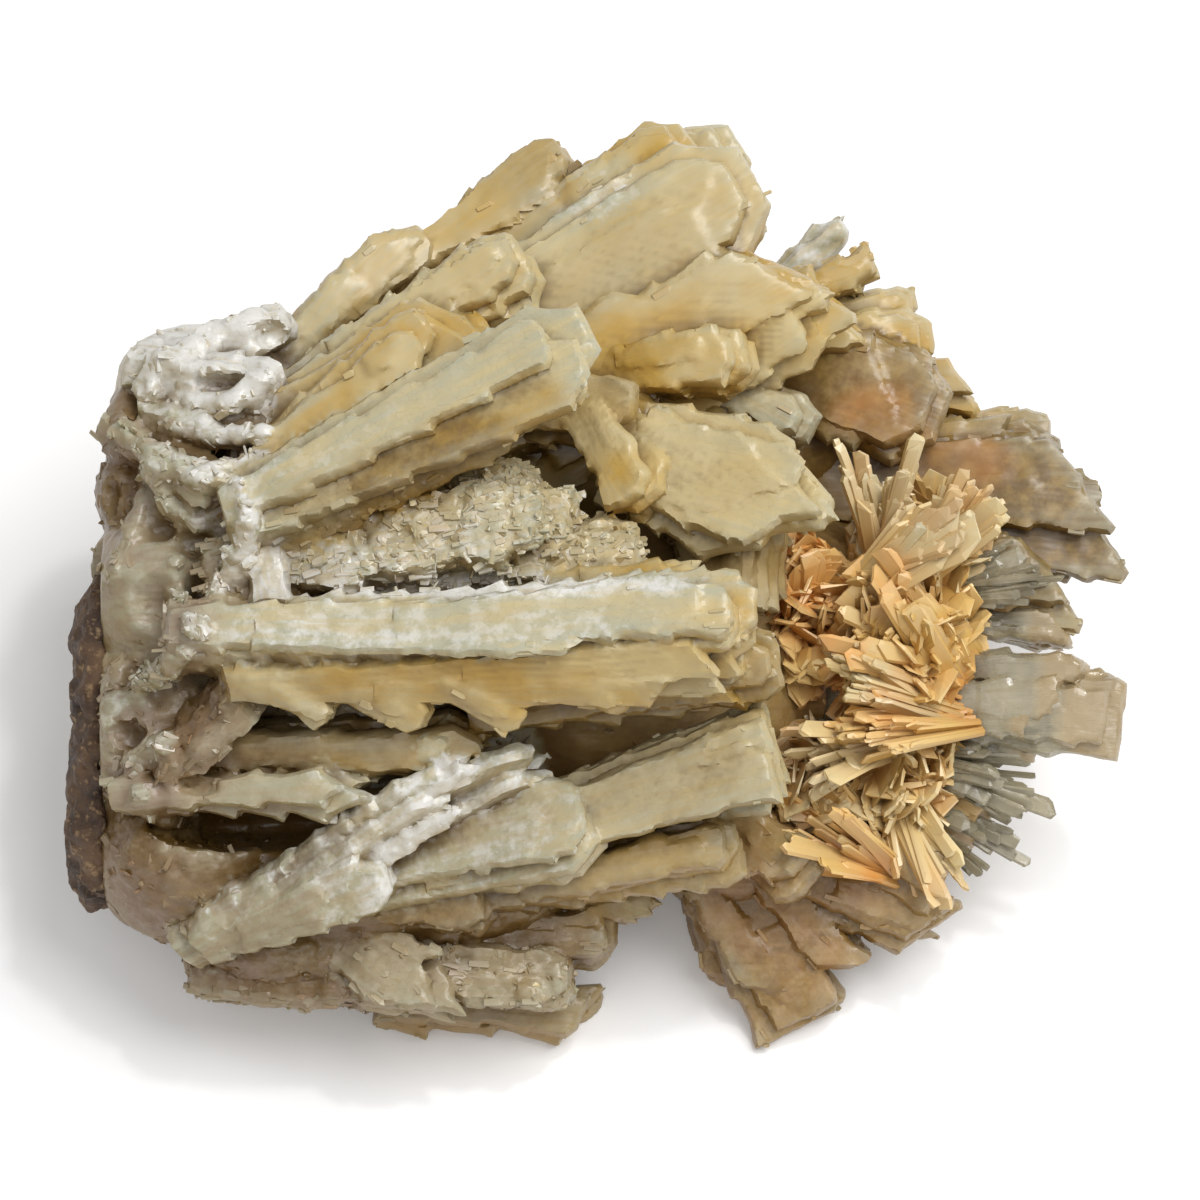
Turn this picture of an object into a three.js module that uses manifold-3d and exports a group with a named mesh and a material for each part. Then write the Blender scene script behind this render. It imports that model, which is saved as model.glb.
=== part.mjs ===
// A bladed barite specimen: tabular crystals grown together in one mass, with a rind of brown host rock on its
// broken left side. Millimetres, +Z up, standing on the small flat spot at Z = 0.
import * as THREE from "three";
import { ConvexGeometry } from "three/addons/geometries/ConvexGeometry.js";
import { mergeVertices } from "three/addons/utils/BufferGeometryUtils.js";
import Module from "manifold-3d";

const wasm = await Module();
wasm.setup();

// The eye looks down on the specimen. Points are given in its picture plane, as [u, v, w]: u to the right,
// v up the picture and w towards the eye, from a centre that stands REST_HEIGHT above the flat spot.
const EYE_ELEVATION = THREE.MathUtils.degToRad(60);
const EYE_DISTANCE = 850;
const REST_HEIGHT = 42;
const CENTRE_X = 1.06;
const CENTRE_Y = 8.71;

// The host rock lies left of this plane, with a hair of air between it and the crystals.
const ROCK_FACE_X = -63.4;
const ROCK_GAP = 0.3;
const ROCK_BACK_Y = -2;

const UP = new THREE.Vector3(0, Math.sin(EYE_ELEVATION), Math.cos(EYE_ELEVATION));
const TO_EYE = new THREE.Vector3(0, -Math.cos(EYE_ELEVATION), Math.sin(EYE_ELEVATION));

// Plan of a crystal's end, from one edge to the other: how far back from the tip, in widths, and how far to the
// side, in half widths.
const ENDS = {
  blunt: [[0.3, -1], [0, -0.45], [0, 0.5], [0.38, 1]],
  point: [[0.85, -1], [0, 0], [0.72, 1]],
  square: [[0.04, -1], [0, 0.85], [0.12, 1]],
  low: [[0.04, -1], [0, -0.8], [0.62, 1]],
  high: [[0.62, -1], [0, 0.8], [0.04, 1]],
};

// The shingled plates of the crest, which lean up to the right.
const CREST = [
  { root: [-20, 37, -17], tip: [11.6, 58.4, -15], wide: 11, thick: 7, roll: -18, end: "blunt" },
  { root: [-12, 36, -23], tip: [17.6, 57.6, -21], wide: 12, thick: 6, roll: -10, end: "blunt" },
  { root: [-28, 27, -8], tip: [20.6, 53, -7], wide: 17, thick: 8, roll: -8, end: "blunt" },
  { root: [-20, 19, -4], tip: [25.6, 45.4, -3], wide: 15, thick: 8, roll: 0, end: "low" },
  { root: [-8, 19, -6], tip: [29.8, 41.4, -4], wide: 13, thick: 7, roll: 8, end: "low" },
  { root: [-8, 15, -8], tip: [26.6, 36.6, -4], wide: 11, thick: 8, roll: 14, end: "blunt" },
  { root: [-38, 31, -17], tip: [-1.8, 54.4, -19], wide: 9, thick: 10, roll: -20, end: "blunt" },
  { root: [-34, 31, -18], tip: [-9, 52, -20], wide: 9, thick: 8, roll: -14, end: "blunt" },
  { root: [-41, 28, -14], tip: [-21.2, 47, -17], wide: 9, thick: 10, roll: -6, end: "blunt" },
  { root: [-42, 28, -12], tip: [-30, 41, -14], wide: 7, thick: 8, roll: 4, end: "blunt" },
  { root: [-44, 19, 1], tip: [-13.8, 37, 7], wide: 12, thick: 9, roll: -10, end: "low" },
  { root: [-40, 24, -5], tip: [-8, 44, 0], wide: 11, thick: 9, roll: -12, end: "blunt" },
  { root: [-42, 18, 8], tip: [-21, 33.4, 12], wide: 7, thick: 6, roll: -10, end: "blunt" },
];

// The long blades and lumps that face the eye, between the crest and the lower group.
const MIDDLE = [
  { root: [-46, 10, 12], tip: [-0.4, 32, 21], wide: 14, thick: 11, roll: -20, bevel: 0.6, end: "blunt" },
  { root: [-45, 8, 10], tip: [-9, 26, 15], wide: 10, thick: 9, roll: 22, bevel: 0.5, end: "blunt" },
  { root: [-47, 2, 5], tip: [-3, 11.4, 10], wide: 16, thick: 14, roll: -15, bevel: 0.5, end: "blunt" },
  { root: [-43, 7, 2], tip: [-8, 14.6, 8], wide: 9, thick: 10, roll: -10, end: "blunt" },
  { root: [-20, 2, 5], tip: [6.4, 6.6, 8], wide: 10, thick: 10, roll: -5, end: "blunt" },
  { root: [-53, -5, 14], tip: [20.8, -3.6, 23], wide: 11.5, thick: 13, roll: -18, bevel: 0.5, end: "blunt" },
  { root: [-46, -10.6, 11], tip: [18.6, -9, 19], wide: 8, thick: 11, roll: 28, bevel: 0.6, end: "low" },
  { root: [-16, -14.5, 7], tip: [23.8, -9, 15], wide: 8, thick: 9, roll: 5, end: "blunt" },
  { root: [-10, 2.6, 10], tip: [13.6, 3.3, 17], wide: 4.4, thick: 4, roll: 0, end: "point" },
  { root: [-4, 26, -6], tip: [20.2, 30.6, 3], wide: 10.5, thick: 10, roll: -10, end: "blunt" },
  { root: [1, 18.4, 2], tip: [31.8, 11, 13], wide: 19, thick: 8, roll: -6, end: "point" },
  { root: [13, 12, -4], tip: [22.6, -1.8, 7], wide: 15, thick: 9, roll: 18, end: "point" },
  { root: [-3, 26, 0], tip: [6.2, 10.6, 11], wide: 9, thick: 7, roll: 12, end: "blunt" },
  { root: [-14, 24, -4], tip: [8, 23, 4], wide: 11, thick: 10, roll: 0, end: "blunt" },
  { root: [8, 31, -12], tip: [26.4, 20, -6], wide: 8, thick: 8, roll: 0, end: "blunt" },
];

// The broad plates behind, on the right.
const RIGHT = [
  { root: [14, 32, -24], tip: [44.4, 22, -15], wide: 18, thick: 10, roll: -10, end: "blunt" },
  { root: [12, 34, -21], tip: [35.6, 37, -16], wide: 13, thick: 8, roll: -4, end: "low" },
  { root: [16, 30, -26], tip: [42, 32.6, -22], wide: 9, thick: 7, roll: 0, end: "blunt" },
  { root: [16, 33, -27], tip: [35.4, 42.2, -25], wide: 5.5, thick: 5, roll: 0, end: "square" },
  { root: [14, 33, -31], tip: [31.2, 47, -30], wide: 5, thick: 4, roll: 0, end: "point" },
  { root: [16, 32, -30], tip: [39.6, 38.4, -27], wide: 5.5, thick: 5, roll: 0, end: "blunt" },
  { root: [18, 27, -30], tip: [48, 27.4, -27], wide: 7, thick: 7, roll: 0, end: "low" },
  { root: [22, 18, -27], tip: [58.4, 19.4, -25], wide: 11, thick: 8, roll: -6, end: "blunt" },
  { root: [24, 14, -22], tip: [68.2, 11.8, -18], wide: 18, thick: 7, roll: -8, end: "low" },
  { root: [26, 6, -24], tip: [63.4, 5, -22], wide: 5.5, thick: 6, roll: 0, end: "square" },
  { root: [28, 3, -16], tip: [60.8, 2.4, -12], wide: 12.5, thick: 6, roll: -5, end: "low" },
  { root: [28, -1, -16], tip: [59.8, -3.8, -13], wide: 6, thick: 6, roll: 5, end: "low" },
  { root: [28, -11.6, -10], tip: [65.8, -14, -5], wide: 10.5, thick: 6, roll: 0, end: "square" },
  { root: [28, -8, -10], tip: [61.8, -8.6, -6], wide: 5, thick: 5.5, roll: 0, end: "blunt" },
  { root: [30, -18, -11], tip: [56, -19.2, -9], wide: 2.4, thick: 4, roll: 0, end: "point" },
];

// The lower group: blades seen edge on at the left, broad faces at the right, and the two lobes at the bottom.
const LOWER = [
  { root: [-22, -33, 4], tip: [24.2, -19.6, 13], wide: 13, thick: 10, roll: -8, end: "square" },
  { root: [-2, -24, 9], tip: [22.4, -16.8, 15.5], wide: 5.5, thick: 5, roll: -8, end: "square" },
  { root: [-16, -37, 0], tip: [19.2, -31.6, 7], wide: 8.5, thick: 9, roll: 0, end: "blunt" },
  { root: [-30, -35, 2], tip: [1.6, -26.6, 12], wide: 14, thick: 10, roll: -20, end: "blunt" },
  { root: [-52, -44, 0], tip: [-5, -18.8, 14], wide: 10, thick: 4.4, roll: 62, end: "point" },
  { root: [-50, -43, 3], tip: [-17, -21.6, 15], wide: 9, thick: 4, roll: 55, end: "point" },
  { root: [-49, -42.6, 3], tip: [-26, -33, 13], wide: 8.5, thick: 5, roll: 8, end: "blunt" },
  { root: [-60, -25, 5], tip: [-28, -23.4, 14], wide: 7, thick: 10, roll: 0, end: "point" },
  { root: [-57, -18.6, 4], tip: [-12, -17.4, 11], wide: 7, thick: 9, roll: 10, end: "point" },
  { root: [-54, -22, 9], tip: [-43, -11.6, 14], wide: 5.6, thick: 7, roll: 30, end: "square" },
  { root: [-36, -22, 6], tip: [-17, -17, 13.5], wide: 4.5, thick: 5, roll: 0, end: "point" },
  { root: [-40, -36, -6], tip: [-12, -38, 4], wide: 9, thick: 10, roll: 0, end: "blunt" },
  { root: [-50, -46.6, -10], tip: [-25, -48.4, -5], wide: 6, thick: 12, roll: 0, end: "blunt" },
  { root: [-34, -40, -4], tip: [-16.6, -53, 1], wide: 13, thick: 9, roll: 0, end: "point" },
  { root: [-28, -50, -14], tip: [1.2, -51, -15], wide: 8.6, thick: 8, roll: -10, end: "high" },
  { root: [-24, -43, -7], tip: [3, -42.4, -8], wide: 8.6, thick: 11, roll: 0, end: "blunt" },
  { root: [-24, -46, -4], tip: [-3, -47, -5], wide: 9, thick: 9, roll: 0, end: "blunt" },
  { root: [-10, -37, -5], tip: [7.6, -39, -10], wide: 5, thick: 9, roll: 0, end: "point" },
  { root: [12, -29, -15], tip: [27, -54.4, -17], wide: 13.5, thick: 9, roll: 0, end: "square" },
  { root: [16, -29, -12], tip: [31.8, -47, -15], wide: 9, thick: 8, roll: 0, end: "high" },
  { root: [16, -31, -11], tip: [44.4, -40.4, -12], wide: 8.6, thick: 7, roll: 0, end: "high" },
  { root: [12, -31, -17], tip: [18.6, -49, -23], wide: 10, thick: 11, roll: 0, end: "blunt" },
  { root: [18, -25, -12], tip: [43.6, -35.6, -7], wide: 7, thick: 7, roll: 0, end: "square" },
  { root: [12, -24, -10], tip: [27, -36, -1], wide: 10, thick: 8, roll: 0, end: "blunt" },
];

// The folded white crust of the left side, and the twisted arm that hangs over its cave.
const LEFT = [
  { root: [-58, 29, -3], tip: [-39, 25, 6], wide: 8, thick: 7, roll: 10, end: "blunt" },
  { root: [-56, 24, 0], tip: [-41, 21.4, 7], wide: 5, thick: 7, roll: 30, end: "blunt" },
  { root: [-50, 27, -6], tip: [-39, 36.4, -2], wide: 6, thick: 9, roll: 0, end: "blunt" },
  { root: [-59.4, 21.6, -4], tip: [-45, 12.4, 10], wide: 5.6, thick: 9, roll: 20, end: "square" },
  { root: [-44, 20, 2], tip: [-42, -4, 14], wide: 7, thick: 9, roll: 0, end: "square" },
];

// Plates that radiate from the far side, which the picture doesn't show.
const FAR_SIDE = [
  { root: [-10, 16, -26], tip: [13, 50, -36], wide: 15, thick: 7, roll: 14, end: "blunt" },
  { root: [-2, 12, -28], tip: [35, 31, -41], wide: 15, thick: 7, roll: -12, end: "low" },
  { root: [-2, 2, -30], tip: [50, 11, -37], wide: 15, thick: 7, roll: 8, end: "high" },
  { root: [-2, -8, -27], tip: [44, -12, -28], wide: 14, thick: 7, roll: -10, end: "square" },
  { root: [-20, 14, -26], tip: [-12, 46, -38], wide: 14, thick: 7, roll: 20, end: "blunt" },
  { root: [-34, 12, -24], tip: [-38, 36, -34], wide: 13, thick: 7, roll: -16, end: "point" },
  { root: [-16, 10, -30], tip: [8, 36, -50], wide: 13, thick: 6, roll: 40, end: "point" },
  { root: [-34, 4, -28], tip: [-34, 22, -50], wide: 14, thick: 7, roll: 30, end: "blunt" },
  { root: [0, 0, -30], tip: [30, 6, -48], wide: 12, thick: 6, roll: 50, end: "point" },
  { root: [-46, 6, -22], tip: [-58, 16, -34], wide: 12, thick: 8, roll: 10, end: "blunt" },
  { root: [-8, 6, -32], tip: [-6, 14, -54], wide: 13, thick: 6, roll: 70, end: "low" },
];

// Fans of thin crystals. They start near one point and spread round the line to another, in degrees.
const SPRAYS = [
  { from: [35, 3, -8], to: [36, 20.4, 1], count: 4, spread: 20, wide: 4.6, thick: 2.4, seed: 11 },
  { from: [40, 3, -7], to: [49.6, 17, 1], count: 4, spread: 17, wide: 4.6, thick: 2.4, seed: 12 },
  { from: [33, 2, -3], to: [46, 12.6, 5], count: 4, spread: 13, wide: 4.4, thick: 2.4, seed: 13 },
  { from: [44, -9, -6], to: [30.5, 1, 7], count: 4, spread: 24, wide: 9, thick: 2.6, seed: 14 },
  { from: [45, -14, -5], to: [29, -8.6, 8], count: 4, spread: 9, wide: 4.4, thick: 2.2, seed: 15 },
  { from: [45, -15, -5], to: [30, -16.4, 8], count: 4, spread: 9, wide: 4.4, thick: 2.2, seed: 16 },
  { from: [40, -17, -7], to: [25, -21, 6], count: 4, spread: 13, wide: 4.8, thick: 2.4, seed: 17 },
  { from: [40, -36, -10], to: [23, -27.4, 4], count: 4, spread: 17, wide: 6, thick: 2.4, seed: 19 },
  { from: [36, -22, -8], to: [43.4, -39, -1], count: 4, spread: 13, wide: 5.4, thick: 2.4, seed: 20 },
  { from: [35, -19, -10], to: [57, -25, -4], count: 5, spread: 14, wide: 4.6, thick: 2.4, seed: 21 },
  { from: [35, -23, -12], to: [52.6, -33, -6], count: 4, spread: 10, wide: 5, thick: 2.4, seed: 22 },
  { from: [38, 0, -11], to: [58, 3.6, -5], count: 4, spread: 10, wide: 4.8, thick: 2.2, seed: 23 },
];

// Rounded masses at the heart, which the crystals grow out of.
const LUMPS = [
  { at: [-26, -12, -18], size: [33, 25, 26] },
  { at: [2, -8, -19], size: [31, 23, 25] },
  { at: [-8, 22, -17], size: [27, 20, 15] },
  { at: [-44, 10, -8], size: [17, 22, 19] },
  { at: [26, -6, -18], size: [20, 18, 12] },
  { at: [18, 22, -24], size: [18, 14, 10] },
  { at: [39, -25, -14], size: [11, 9, 7] },
  { at: [41, 3, -14], size: [11, 10, 6] },
  { at: [-26, -32, -8], size: [28, 15, 16] },
  { at: [18, -28, -16], size: [14, 13, 10] },
  { at: [-50, 27, -8], size: [11.4, 7.4, 12] },
  { at: [-59.4, 12.6, -6], size: [3.8, 5.4, 8] },
  { at: [-58.6, 21, -6], size: [3.6, 6, 9] },
  { at: [-53, 0, -5], size: [13, 13, 16] },
  { at: [-53, -16, -6], size: [14, 16, 17] },
  { at: [-51, -31, -7], size: [14, 12.6, 16] },
  { at: [-38, -43, -10], size: [14, 6.4, 14] },
];

// Hollows in the mass: the cave under the white crust, and the wedge between the lower blades.
const HOLLOWS = [
  { at: [-49, 19, 6], size: [8.4, 3.4, 16] },
  { at: [-44, -29, 10], size: [14, 3.4, 14] },
  { at: [-46, 30, 6], size: [5.5, 3, 7] },
];

// Brown host rock along the left edge.
const ROCK_LUMPS = [
  { at: [-62.4, -4, -6], size: [2.8, 5.6, 9] },
  { at: [-62.4, -12, -8], size: [2.6, 8, 11] },
  { at: [-62.4, -21, -9], size: [3.6, 8, 12] },
  { at: [-62.4, -28, -9], size: [4.2, 7, 11] },
  { at: [-62.4, -33, -10], size: [2.8, 4.6, 9] },
];

// Repeatable random numbers from 0 to 1.
function dice(seed) {
  let state = seed;
  return () => {
    state = (Math.imul(state, 1664525) + 1013904223) >>> 0;
    return state / 4294967296;
  };
}

// A picture point as a point of the part. What is nearer the eye looks larger, so it lies closer to the middle.
function place([u, v, w]) {
  const nearness = 1 - w / EYE_DISTANCE;
  return new THREE.Vector3(u * nearness - CENTRE_X, -CENTRE_Y, REST_HEIGHT)
    .addScaledVector(UP, v * nearness)
    .addScaledVector(TO_EYE, w);
}

// A geometry as a solid that can be joined and cut.
function solidOf(geometry) {
  geometry.deleteAttribute("normal");
  geometry.deleteAttribute("uv");
  const merged = mergeVertices(geometry, 1e-4);
  return new wasm.Manifold(new wasm.Mesh({
    numProp: 3,
    vertProperties: merged.attributes.position.array,
    triVerts: new Uint32Array(merged.index.array),
  }));
}

// The axes of a crystal: along it, across its broad face, and out of that face, which roll turns from the eye.
function axesOf(root, tip, roll) {
  const along = tip.clone().sub(root).normalize();
  const out = TO_EYE.clone().addScaledVector(along, -TO_EYE.dot(along)).normalize();
  out.applyAxisAngle(along, THREE.MathUtils.degToRad(roll));
  const across = out.clone().cross(along);
  return { along, across, out };
}

// One tabular crystal: a plate with bevelled edges and a plain end inside the mass.
function crystal({ root, tip, wide, thick, roll, end, bevel = 0.36 }) {
  const start = place(root);
  const stop = place(tip);
  const { along, across, out } = axesOf(start, stop, roll);
  const length = start.distanceTo(stop);
  const inset = (bevel * wide) / 2;
  const corner = (forward, side, height) => start.clone()
    .addScaledVector(along, forward)
    .addScaledVector(across, side)
    .addScaledVector(out, height);
  const plan = [[0, -0.8], [0, 0.8]];
  for (const [back, side] of ENDS[end]) plan.push([length - back * wide, side]);
  const points = [];
  for (const [forward, side] of plan) {
    const edge = (side * wide) / 2;
    const drawnIn = edge * (1 - bevel);
    const held = forward > 0 ? forward - inset * 0.6 : 0;
    points.push(corner(forward, edge, 0));
    points.push(corner(held, drawnIn, thick / 2));
    points.push(corner(held, drawnIn, -thick / 2));
  }
  return solidOf(new ConvexGeometry(points));
}

// A fan of thin crystals round one line.
function spray({ from, to, count, spread, wide, thick, seed }) {
  const roll = dice(seed);
  const start = place(from);
  const stop = place(to);
  const { along, across, out } = axesOf(start, stop, 0);
  const reach = Math.tan(THREE.MathUtils.degToRad(spread));
  const made = [];
  for (let i = 0; i < count; i++) {
    const sideways = (2 * (i + roll())) / count - 1;
    const lift = roll() * 2 - 1;
    const length = start.distanceTo(stop) * (1 - 0.28 * roll());
    const turn = (roll() * 2 - 1) * 25;
    const breadth = wide * (0.7 + 0.6 * roll());
    const heading = along.clone()
      .addScaledVector(across, sideways * reach)
      .addScaledVector(out, lift * reach * 0.7)
      .normalize();
    made.push(splinter(start, heading, length, breadth, thick, turn));
  }
  return made;
}

// One thin crystal with a roof-shaped end.
function splinter(start, along, length, wide, thick, turn) {
  const out = TO_EYE.clone().addScaledVector(along, -TO_EYE.dot(along)).normalize();
  out.applyAxisAngle(along, THREE.MathUtils.degToRad(turn));
  const across = out.clone().cross(along);
  const points = [];
  const add = (forward, side, height) => points.push(start.clone()
    .addScaledVector(along, forward)
    .addScaledVector(across, side)
    .addScaledVector(out, height));
  for (const side of [-wide / 2, wide / 2]) {
    for (const height of [-thick / 2, thick / 2]) {
      add(0, side * 0.2, height * 0.2);
      add(length - wide * 0.7, side, height);
    }
  }
  add(length, 0, 0);
  return solidOf(new ConvexGeometry(points));
}

// A rounded lump with flat facets, from points spread evenly round an ellipsoid.
const LUMP_POINTS = 16;
const GOLDEN_ANGLE = Math.PI * (3 - Math.sqrt(5));

function lump({ at, size }) {
  const [u, v, w] = at;
  const [wide, high, deep] = size;
  const points = [];
  for (let i = 0; i < LUMP_POINTS; i++) {
    const height = 1 - (2 * i + 1) / LUMP_POINTS;
    const ring = Math.sqrt(1 - height * height);
    const turn = i * GOLDEN_ANGLE;
    points.push(place([
      u + wide * ring * Math.cos(turn),
      v + high * ring * Math.sin(turn),
      w + deep * height,
    ]));
  }
  return solidOf(new ConvexGeometry(points));
}

// A box that cuts: from one corner to the other, in the part's own frame.
function block(low, high) {
  const size = new THREE.Vector3(...high).sub(new THREE.Vector3(...low));
  const middle = new THREE.Vector3(...high).add(new THREE.Vector3(...low)).multiplyScalar(0.5);
  const geometry = new THREE.BoxGeometry(size.x, size.y, size.z);
  geometry.translate(middle.x, middle.y, middle.z);
  return solidOf(geometry);
}

const joined = (solids) => solids.reduce((sum, solid) => sum.add(solid));

// The outer skin alone: pockets that the crystals close off inside are filled.
const SMALLEST_FACET = 0.4;

function outerSkin(solid) {
  const bodies = solid.simplify(SMALLEST_FACET).decompose();
  return bodies.sort((a, b) => b.volume() - a.volume())[0];
}

const FAR = 300;
const floor = block([-FAR, -FAR, -FAR], [FAR, FAR, 0]);

function crystalCluster() {
  const plates = [...CREST, ...MIDDLE, ...RIGHT, ...LOWER, ...LEFT, ...FAR_SIDE].map(crystal);
  const thin = SPRAYS.flatMap(spray);
  const heart = joined(LUMPS.map(lump)).subtract(joined(HOLLOWS.map(lump)));
  const rockSide = block([-FAR, -FAR, -FAR], [ROCK_FACE_X + ROCK_GAP, ROCK_BACK_Y, FAR]);
  return outerSkin(joined([heart, ...plates, ...thin]).subtract(rockSide).subtract(floor));
}

function hostRock() {
  const inside = block([ROCK_FACE_X, -FAR, -FAR], [FAR, FAR, FAR]);
  return outerSkin(joined(ROCK_LUMPS.map(lump)).subtract(inside).subtract(floor));
}

function mesh(name, solid, material) {
  const { vertProperties, triVerts } = solid.getMesh();
  const geometry = new THREE.BufferGeometry();
  geometry.setAttribute("position", new THREE.BufferAttribute(new Float32Array(vertProperties), 3));
  geometry.setIndex(new THREE.BufferAttribute(new Uint32Array(triVerts), 1));
  geometry.computeVertexNormals();
  const made = new THREE.Mesh(geometry, material);
  made.name = name;
  return made;
}

const barite = new THREE.MeshStandardMaterial({ color: 0xcbbd93, roughness: 0.45, metalness: 0 });
const rock = new THREE.MeshStandardMaterial({ color: 0x4d3a2c, roughness: 0.9, metalness: 0 });

const specimen = new THREE.Group();
specimen.add(mesh("crystal_cluster", crystalCluster(), barite));
specimen.add(mesh("host_rock", hostRock(), rock));

export default specimen;
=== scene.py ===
# A bladed barite specimen on a white table: broad honey blades, a frosted white mass on the left with a rind of
# brown rock, and orange fans of thin blades on the right. Shapes are in millimetres until they become meshes.
import math
import bpy
import numpy as np
from mathutils import Matrix, Vector


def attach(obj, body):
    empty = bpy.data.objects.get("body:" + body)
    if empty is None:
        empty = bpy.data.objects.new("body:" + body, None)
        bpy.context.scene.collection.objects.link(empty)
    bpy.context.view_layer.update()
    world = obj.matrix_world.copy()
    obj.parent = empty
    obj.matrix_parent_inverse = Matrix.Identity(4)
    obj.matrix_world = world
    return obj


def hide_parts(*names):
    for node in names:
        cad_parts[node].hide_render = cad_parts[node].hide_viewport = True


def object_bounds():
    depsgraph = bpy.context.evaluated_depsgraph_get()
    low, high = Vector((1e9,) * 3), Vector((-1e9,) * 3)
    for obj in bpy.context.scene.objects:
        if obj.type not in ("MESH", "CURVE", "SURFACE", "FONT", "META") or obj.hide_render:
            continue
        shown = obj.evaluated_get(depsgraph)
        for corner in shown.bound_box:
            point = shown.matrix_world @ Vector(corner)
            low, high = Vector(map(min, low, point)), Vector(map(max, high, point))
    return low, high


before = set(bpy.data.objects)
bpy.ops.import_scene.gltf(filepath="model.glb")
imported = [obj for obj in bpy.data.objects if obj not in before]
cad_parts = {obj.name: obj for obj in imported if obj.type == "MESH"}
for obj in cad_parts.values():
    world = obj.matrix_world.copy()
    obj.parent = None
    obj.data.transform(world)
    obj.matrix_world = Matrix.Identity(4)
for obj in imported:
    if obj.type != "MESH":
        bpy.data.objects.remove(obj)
cad_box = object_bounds()

# The picture plane of the part's source. A picture point is (u, v, w): right, up and towards the eye.
EYE_ELEVATION = math.radians(60)
EYE_DISTANCE = 850.0
REST_HEIGHT = 42.0
CENTRE_X = 1.06
CENTRE_Y = 8.71
UP = np.array([0.0, math.sin(EYE_ELEVATION), math.cos(EYE_ELEVATION)])
TO_EYE = np.array([0.0, -math.cos(EYE_ELEVATION), math.sin(EYE_ELEVATION)])
MIDDLE_POINT = np.array([-CENTRE_X, -CENTRE_Y, REST_HEIGHT])
PICTURE_WIDTH = 150.0
METRES = 0.001
cad_box_mm = [np.array(corner) / METRES for corner in cad_box]


def place(point):
    """A picture point as a point of the part. What is nearer the eye lies closer to the middle."""
    u, v, w = point
    nearness = 1 - w / EYE_DISTANCE
    return MIDDLE_POINT + np.array([u * nearness, 0, 0]) + UP * (v * nearness) + TO_EYE * w


def picture(points):
    """Points of the part, one a row, as picture points."""
    from_middle = points - MIDDLE_POINT
    w = from_middle @ TO_EYE
    nearness = 1 - w / EYE_DISTANCE
    return np.stack([from_middle[:, 0] / nearness, (from_middle @ UP) / nearness, w], axis=1)


def rows(text):
    """The rows of a table, as lists of its numbers and words."""
    return [[float(word) if word[-1].isdigit() else word for word in line.split()]
            for line in text.strip().splitlines()]


def unit(vector):
    return vector / np.linalg.norm(vector)


def turned(vector, axis, angle):
    """A vector turned round an axis."""
    return (vector * math.cos(angle) + np.cross(axis, vector) * math.sin(angle)
            + axis * (axis @ vector) * (1 - math.cos(angle)))


def facing_eye(along, roll):
    """The way out of the broad face of a blade that shows it to the eye, turned by its roll."""
    return turned(unit(TO_EYE - along * (TO_EYE @ along)), along, roll)


def straight(start, stop):
    """The length of the way between two points, and its direction."""
    length = np.linalg.norm(stop - start)
    return length, (stop - start) / length


# The plan of a crystal's end, from one edge to the other: how far back from the tip, in widths, and how far to
# the side, in half widths.
ENDS = {
    "blunt": ((0.3, -1), (0, -0.45), (0, 0.5), (0.38, 1)),
    "point": ((0.85, -1), (0, 0), (0.72, 1)),
    "square": ((0.04, -1), (0, 0.85), (0.12, 1)),
    "low": ((0.04, -1), (0, -0.8), (0.62, 1)),
    "high": ((0.62, -1), (0, 0.8), (0.04, 1)),
}
BEVEL = 0.36
ROOT_WIDTH = 0.8

# What a crystal is like: how honey-coloured, frosted, stained, dark and mauve it is, then how rough.
TINTS = {name: tuple(amounts) for name, *amounts in rows("""
honey 0.85 0.05 0 0 0 0.15
pale 0.32 0.2 0 0 0 0.12
waxy 0.1 0.45 0 0 0 0.12
grain 0.35 0.5 0 0 0.1 0.9
frost 0 0.8 0 0 0.2 0.3
sheet 0 0.75 0 0 0.12 0.12
snow 0 1.2 0 0 0 0.3
ridge 0 0.95 0 0 0.1 0.7
khaki 0.7 0 0.05 0.4 0 0.2
amber 0.8 0 0.08 0.8 0 0.25
umber 0.6 0 0.2 0.55 0.1 0.4
brown 0.3 0.1 0.05 0.45 0.6 0.6
rock 0 0 0 1 0 1.3
glass 0.3 0 0 0.4 0.1 0.1
rose 0.3 0.15 0.35 0 0.3 0.2
orange 0.6 0 0.75 0 0 0.2
peach 0.4 0.25 0.45 0 0.05 0.2
""")}
TINT_NAMES = ("honey", "frost", "stain", "dark", "mauve")

# The crystals: root, tip, width, thickness, roll, end, tint and, where they aren't the usual ones, bevel and
# lobes.
CREST = rows("""
-20 37 -17  11.6 58.4 -15  11 7 -18 blunt honey
-12 36 -23  17.6 57.6 -21  12 6 -10 blunt pale
-28 27 -8  20.6 53 -7  17 8 -8 blunt pale
-20 19 -4  25.6 45.4 -3  15 8 0 low honey
-8 19 -6  29.8 41.4 -4  13 7 8 low honey
-8 15 -8  26.6 36.6 -4  11 8 14 blunt honey
-38 31 -17  -1.8 54.4 -19  9 10 -20 blunt khaki
-34 31 -18  -9 52 -20  9 8 -14 blunt khaki
-41 28 -14  -21.2 47 -17  9 10 -6 blunt khaki
-42 28 -12  -30 41 -14  7 8 4 blunt pale
-44 19 1  -13.8 37 7  12 9 -10 low honey
-40 24 -5  -8 44 0  11 9 -12 blunt pale
-42 18 8  -21 33.4 12  7 6 -10 blunt honey
""")
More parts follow.
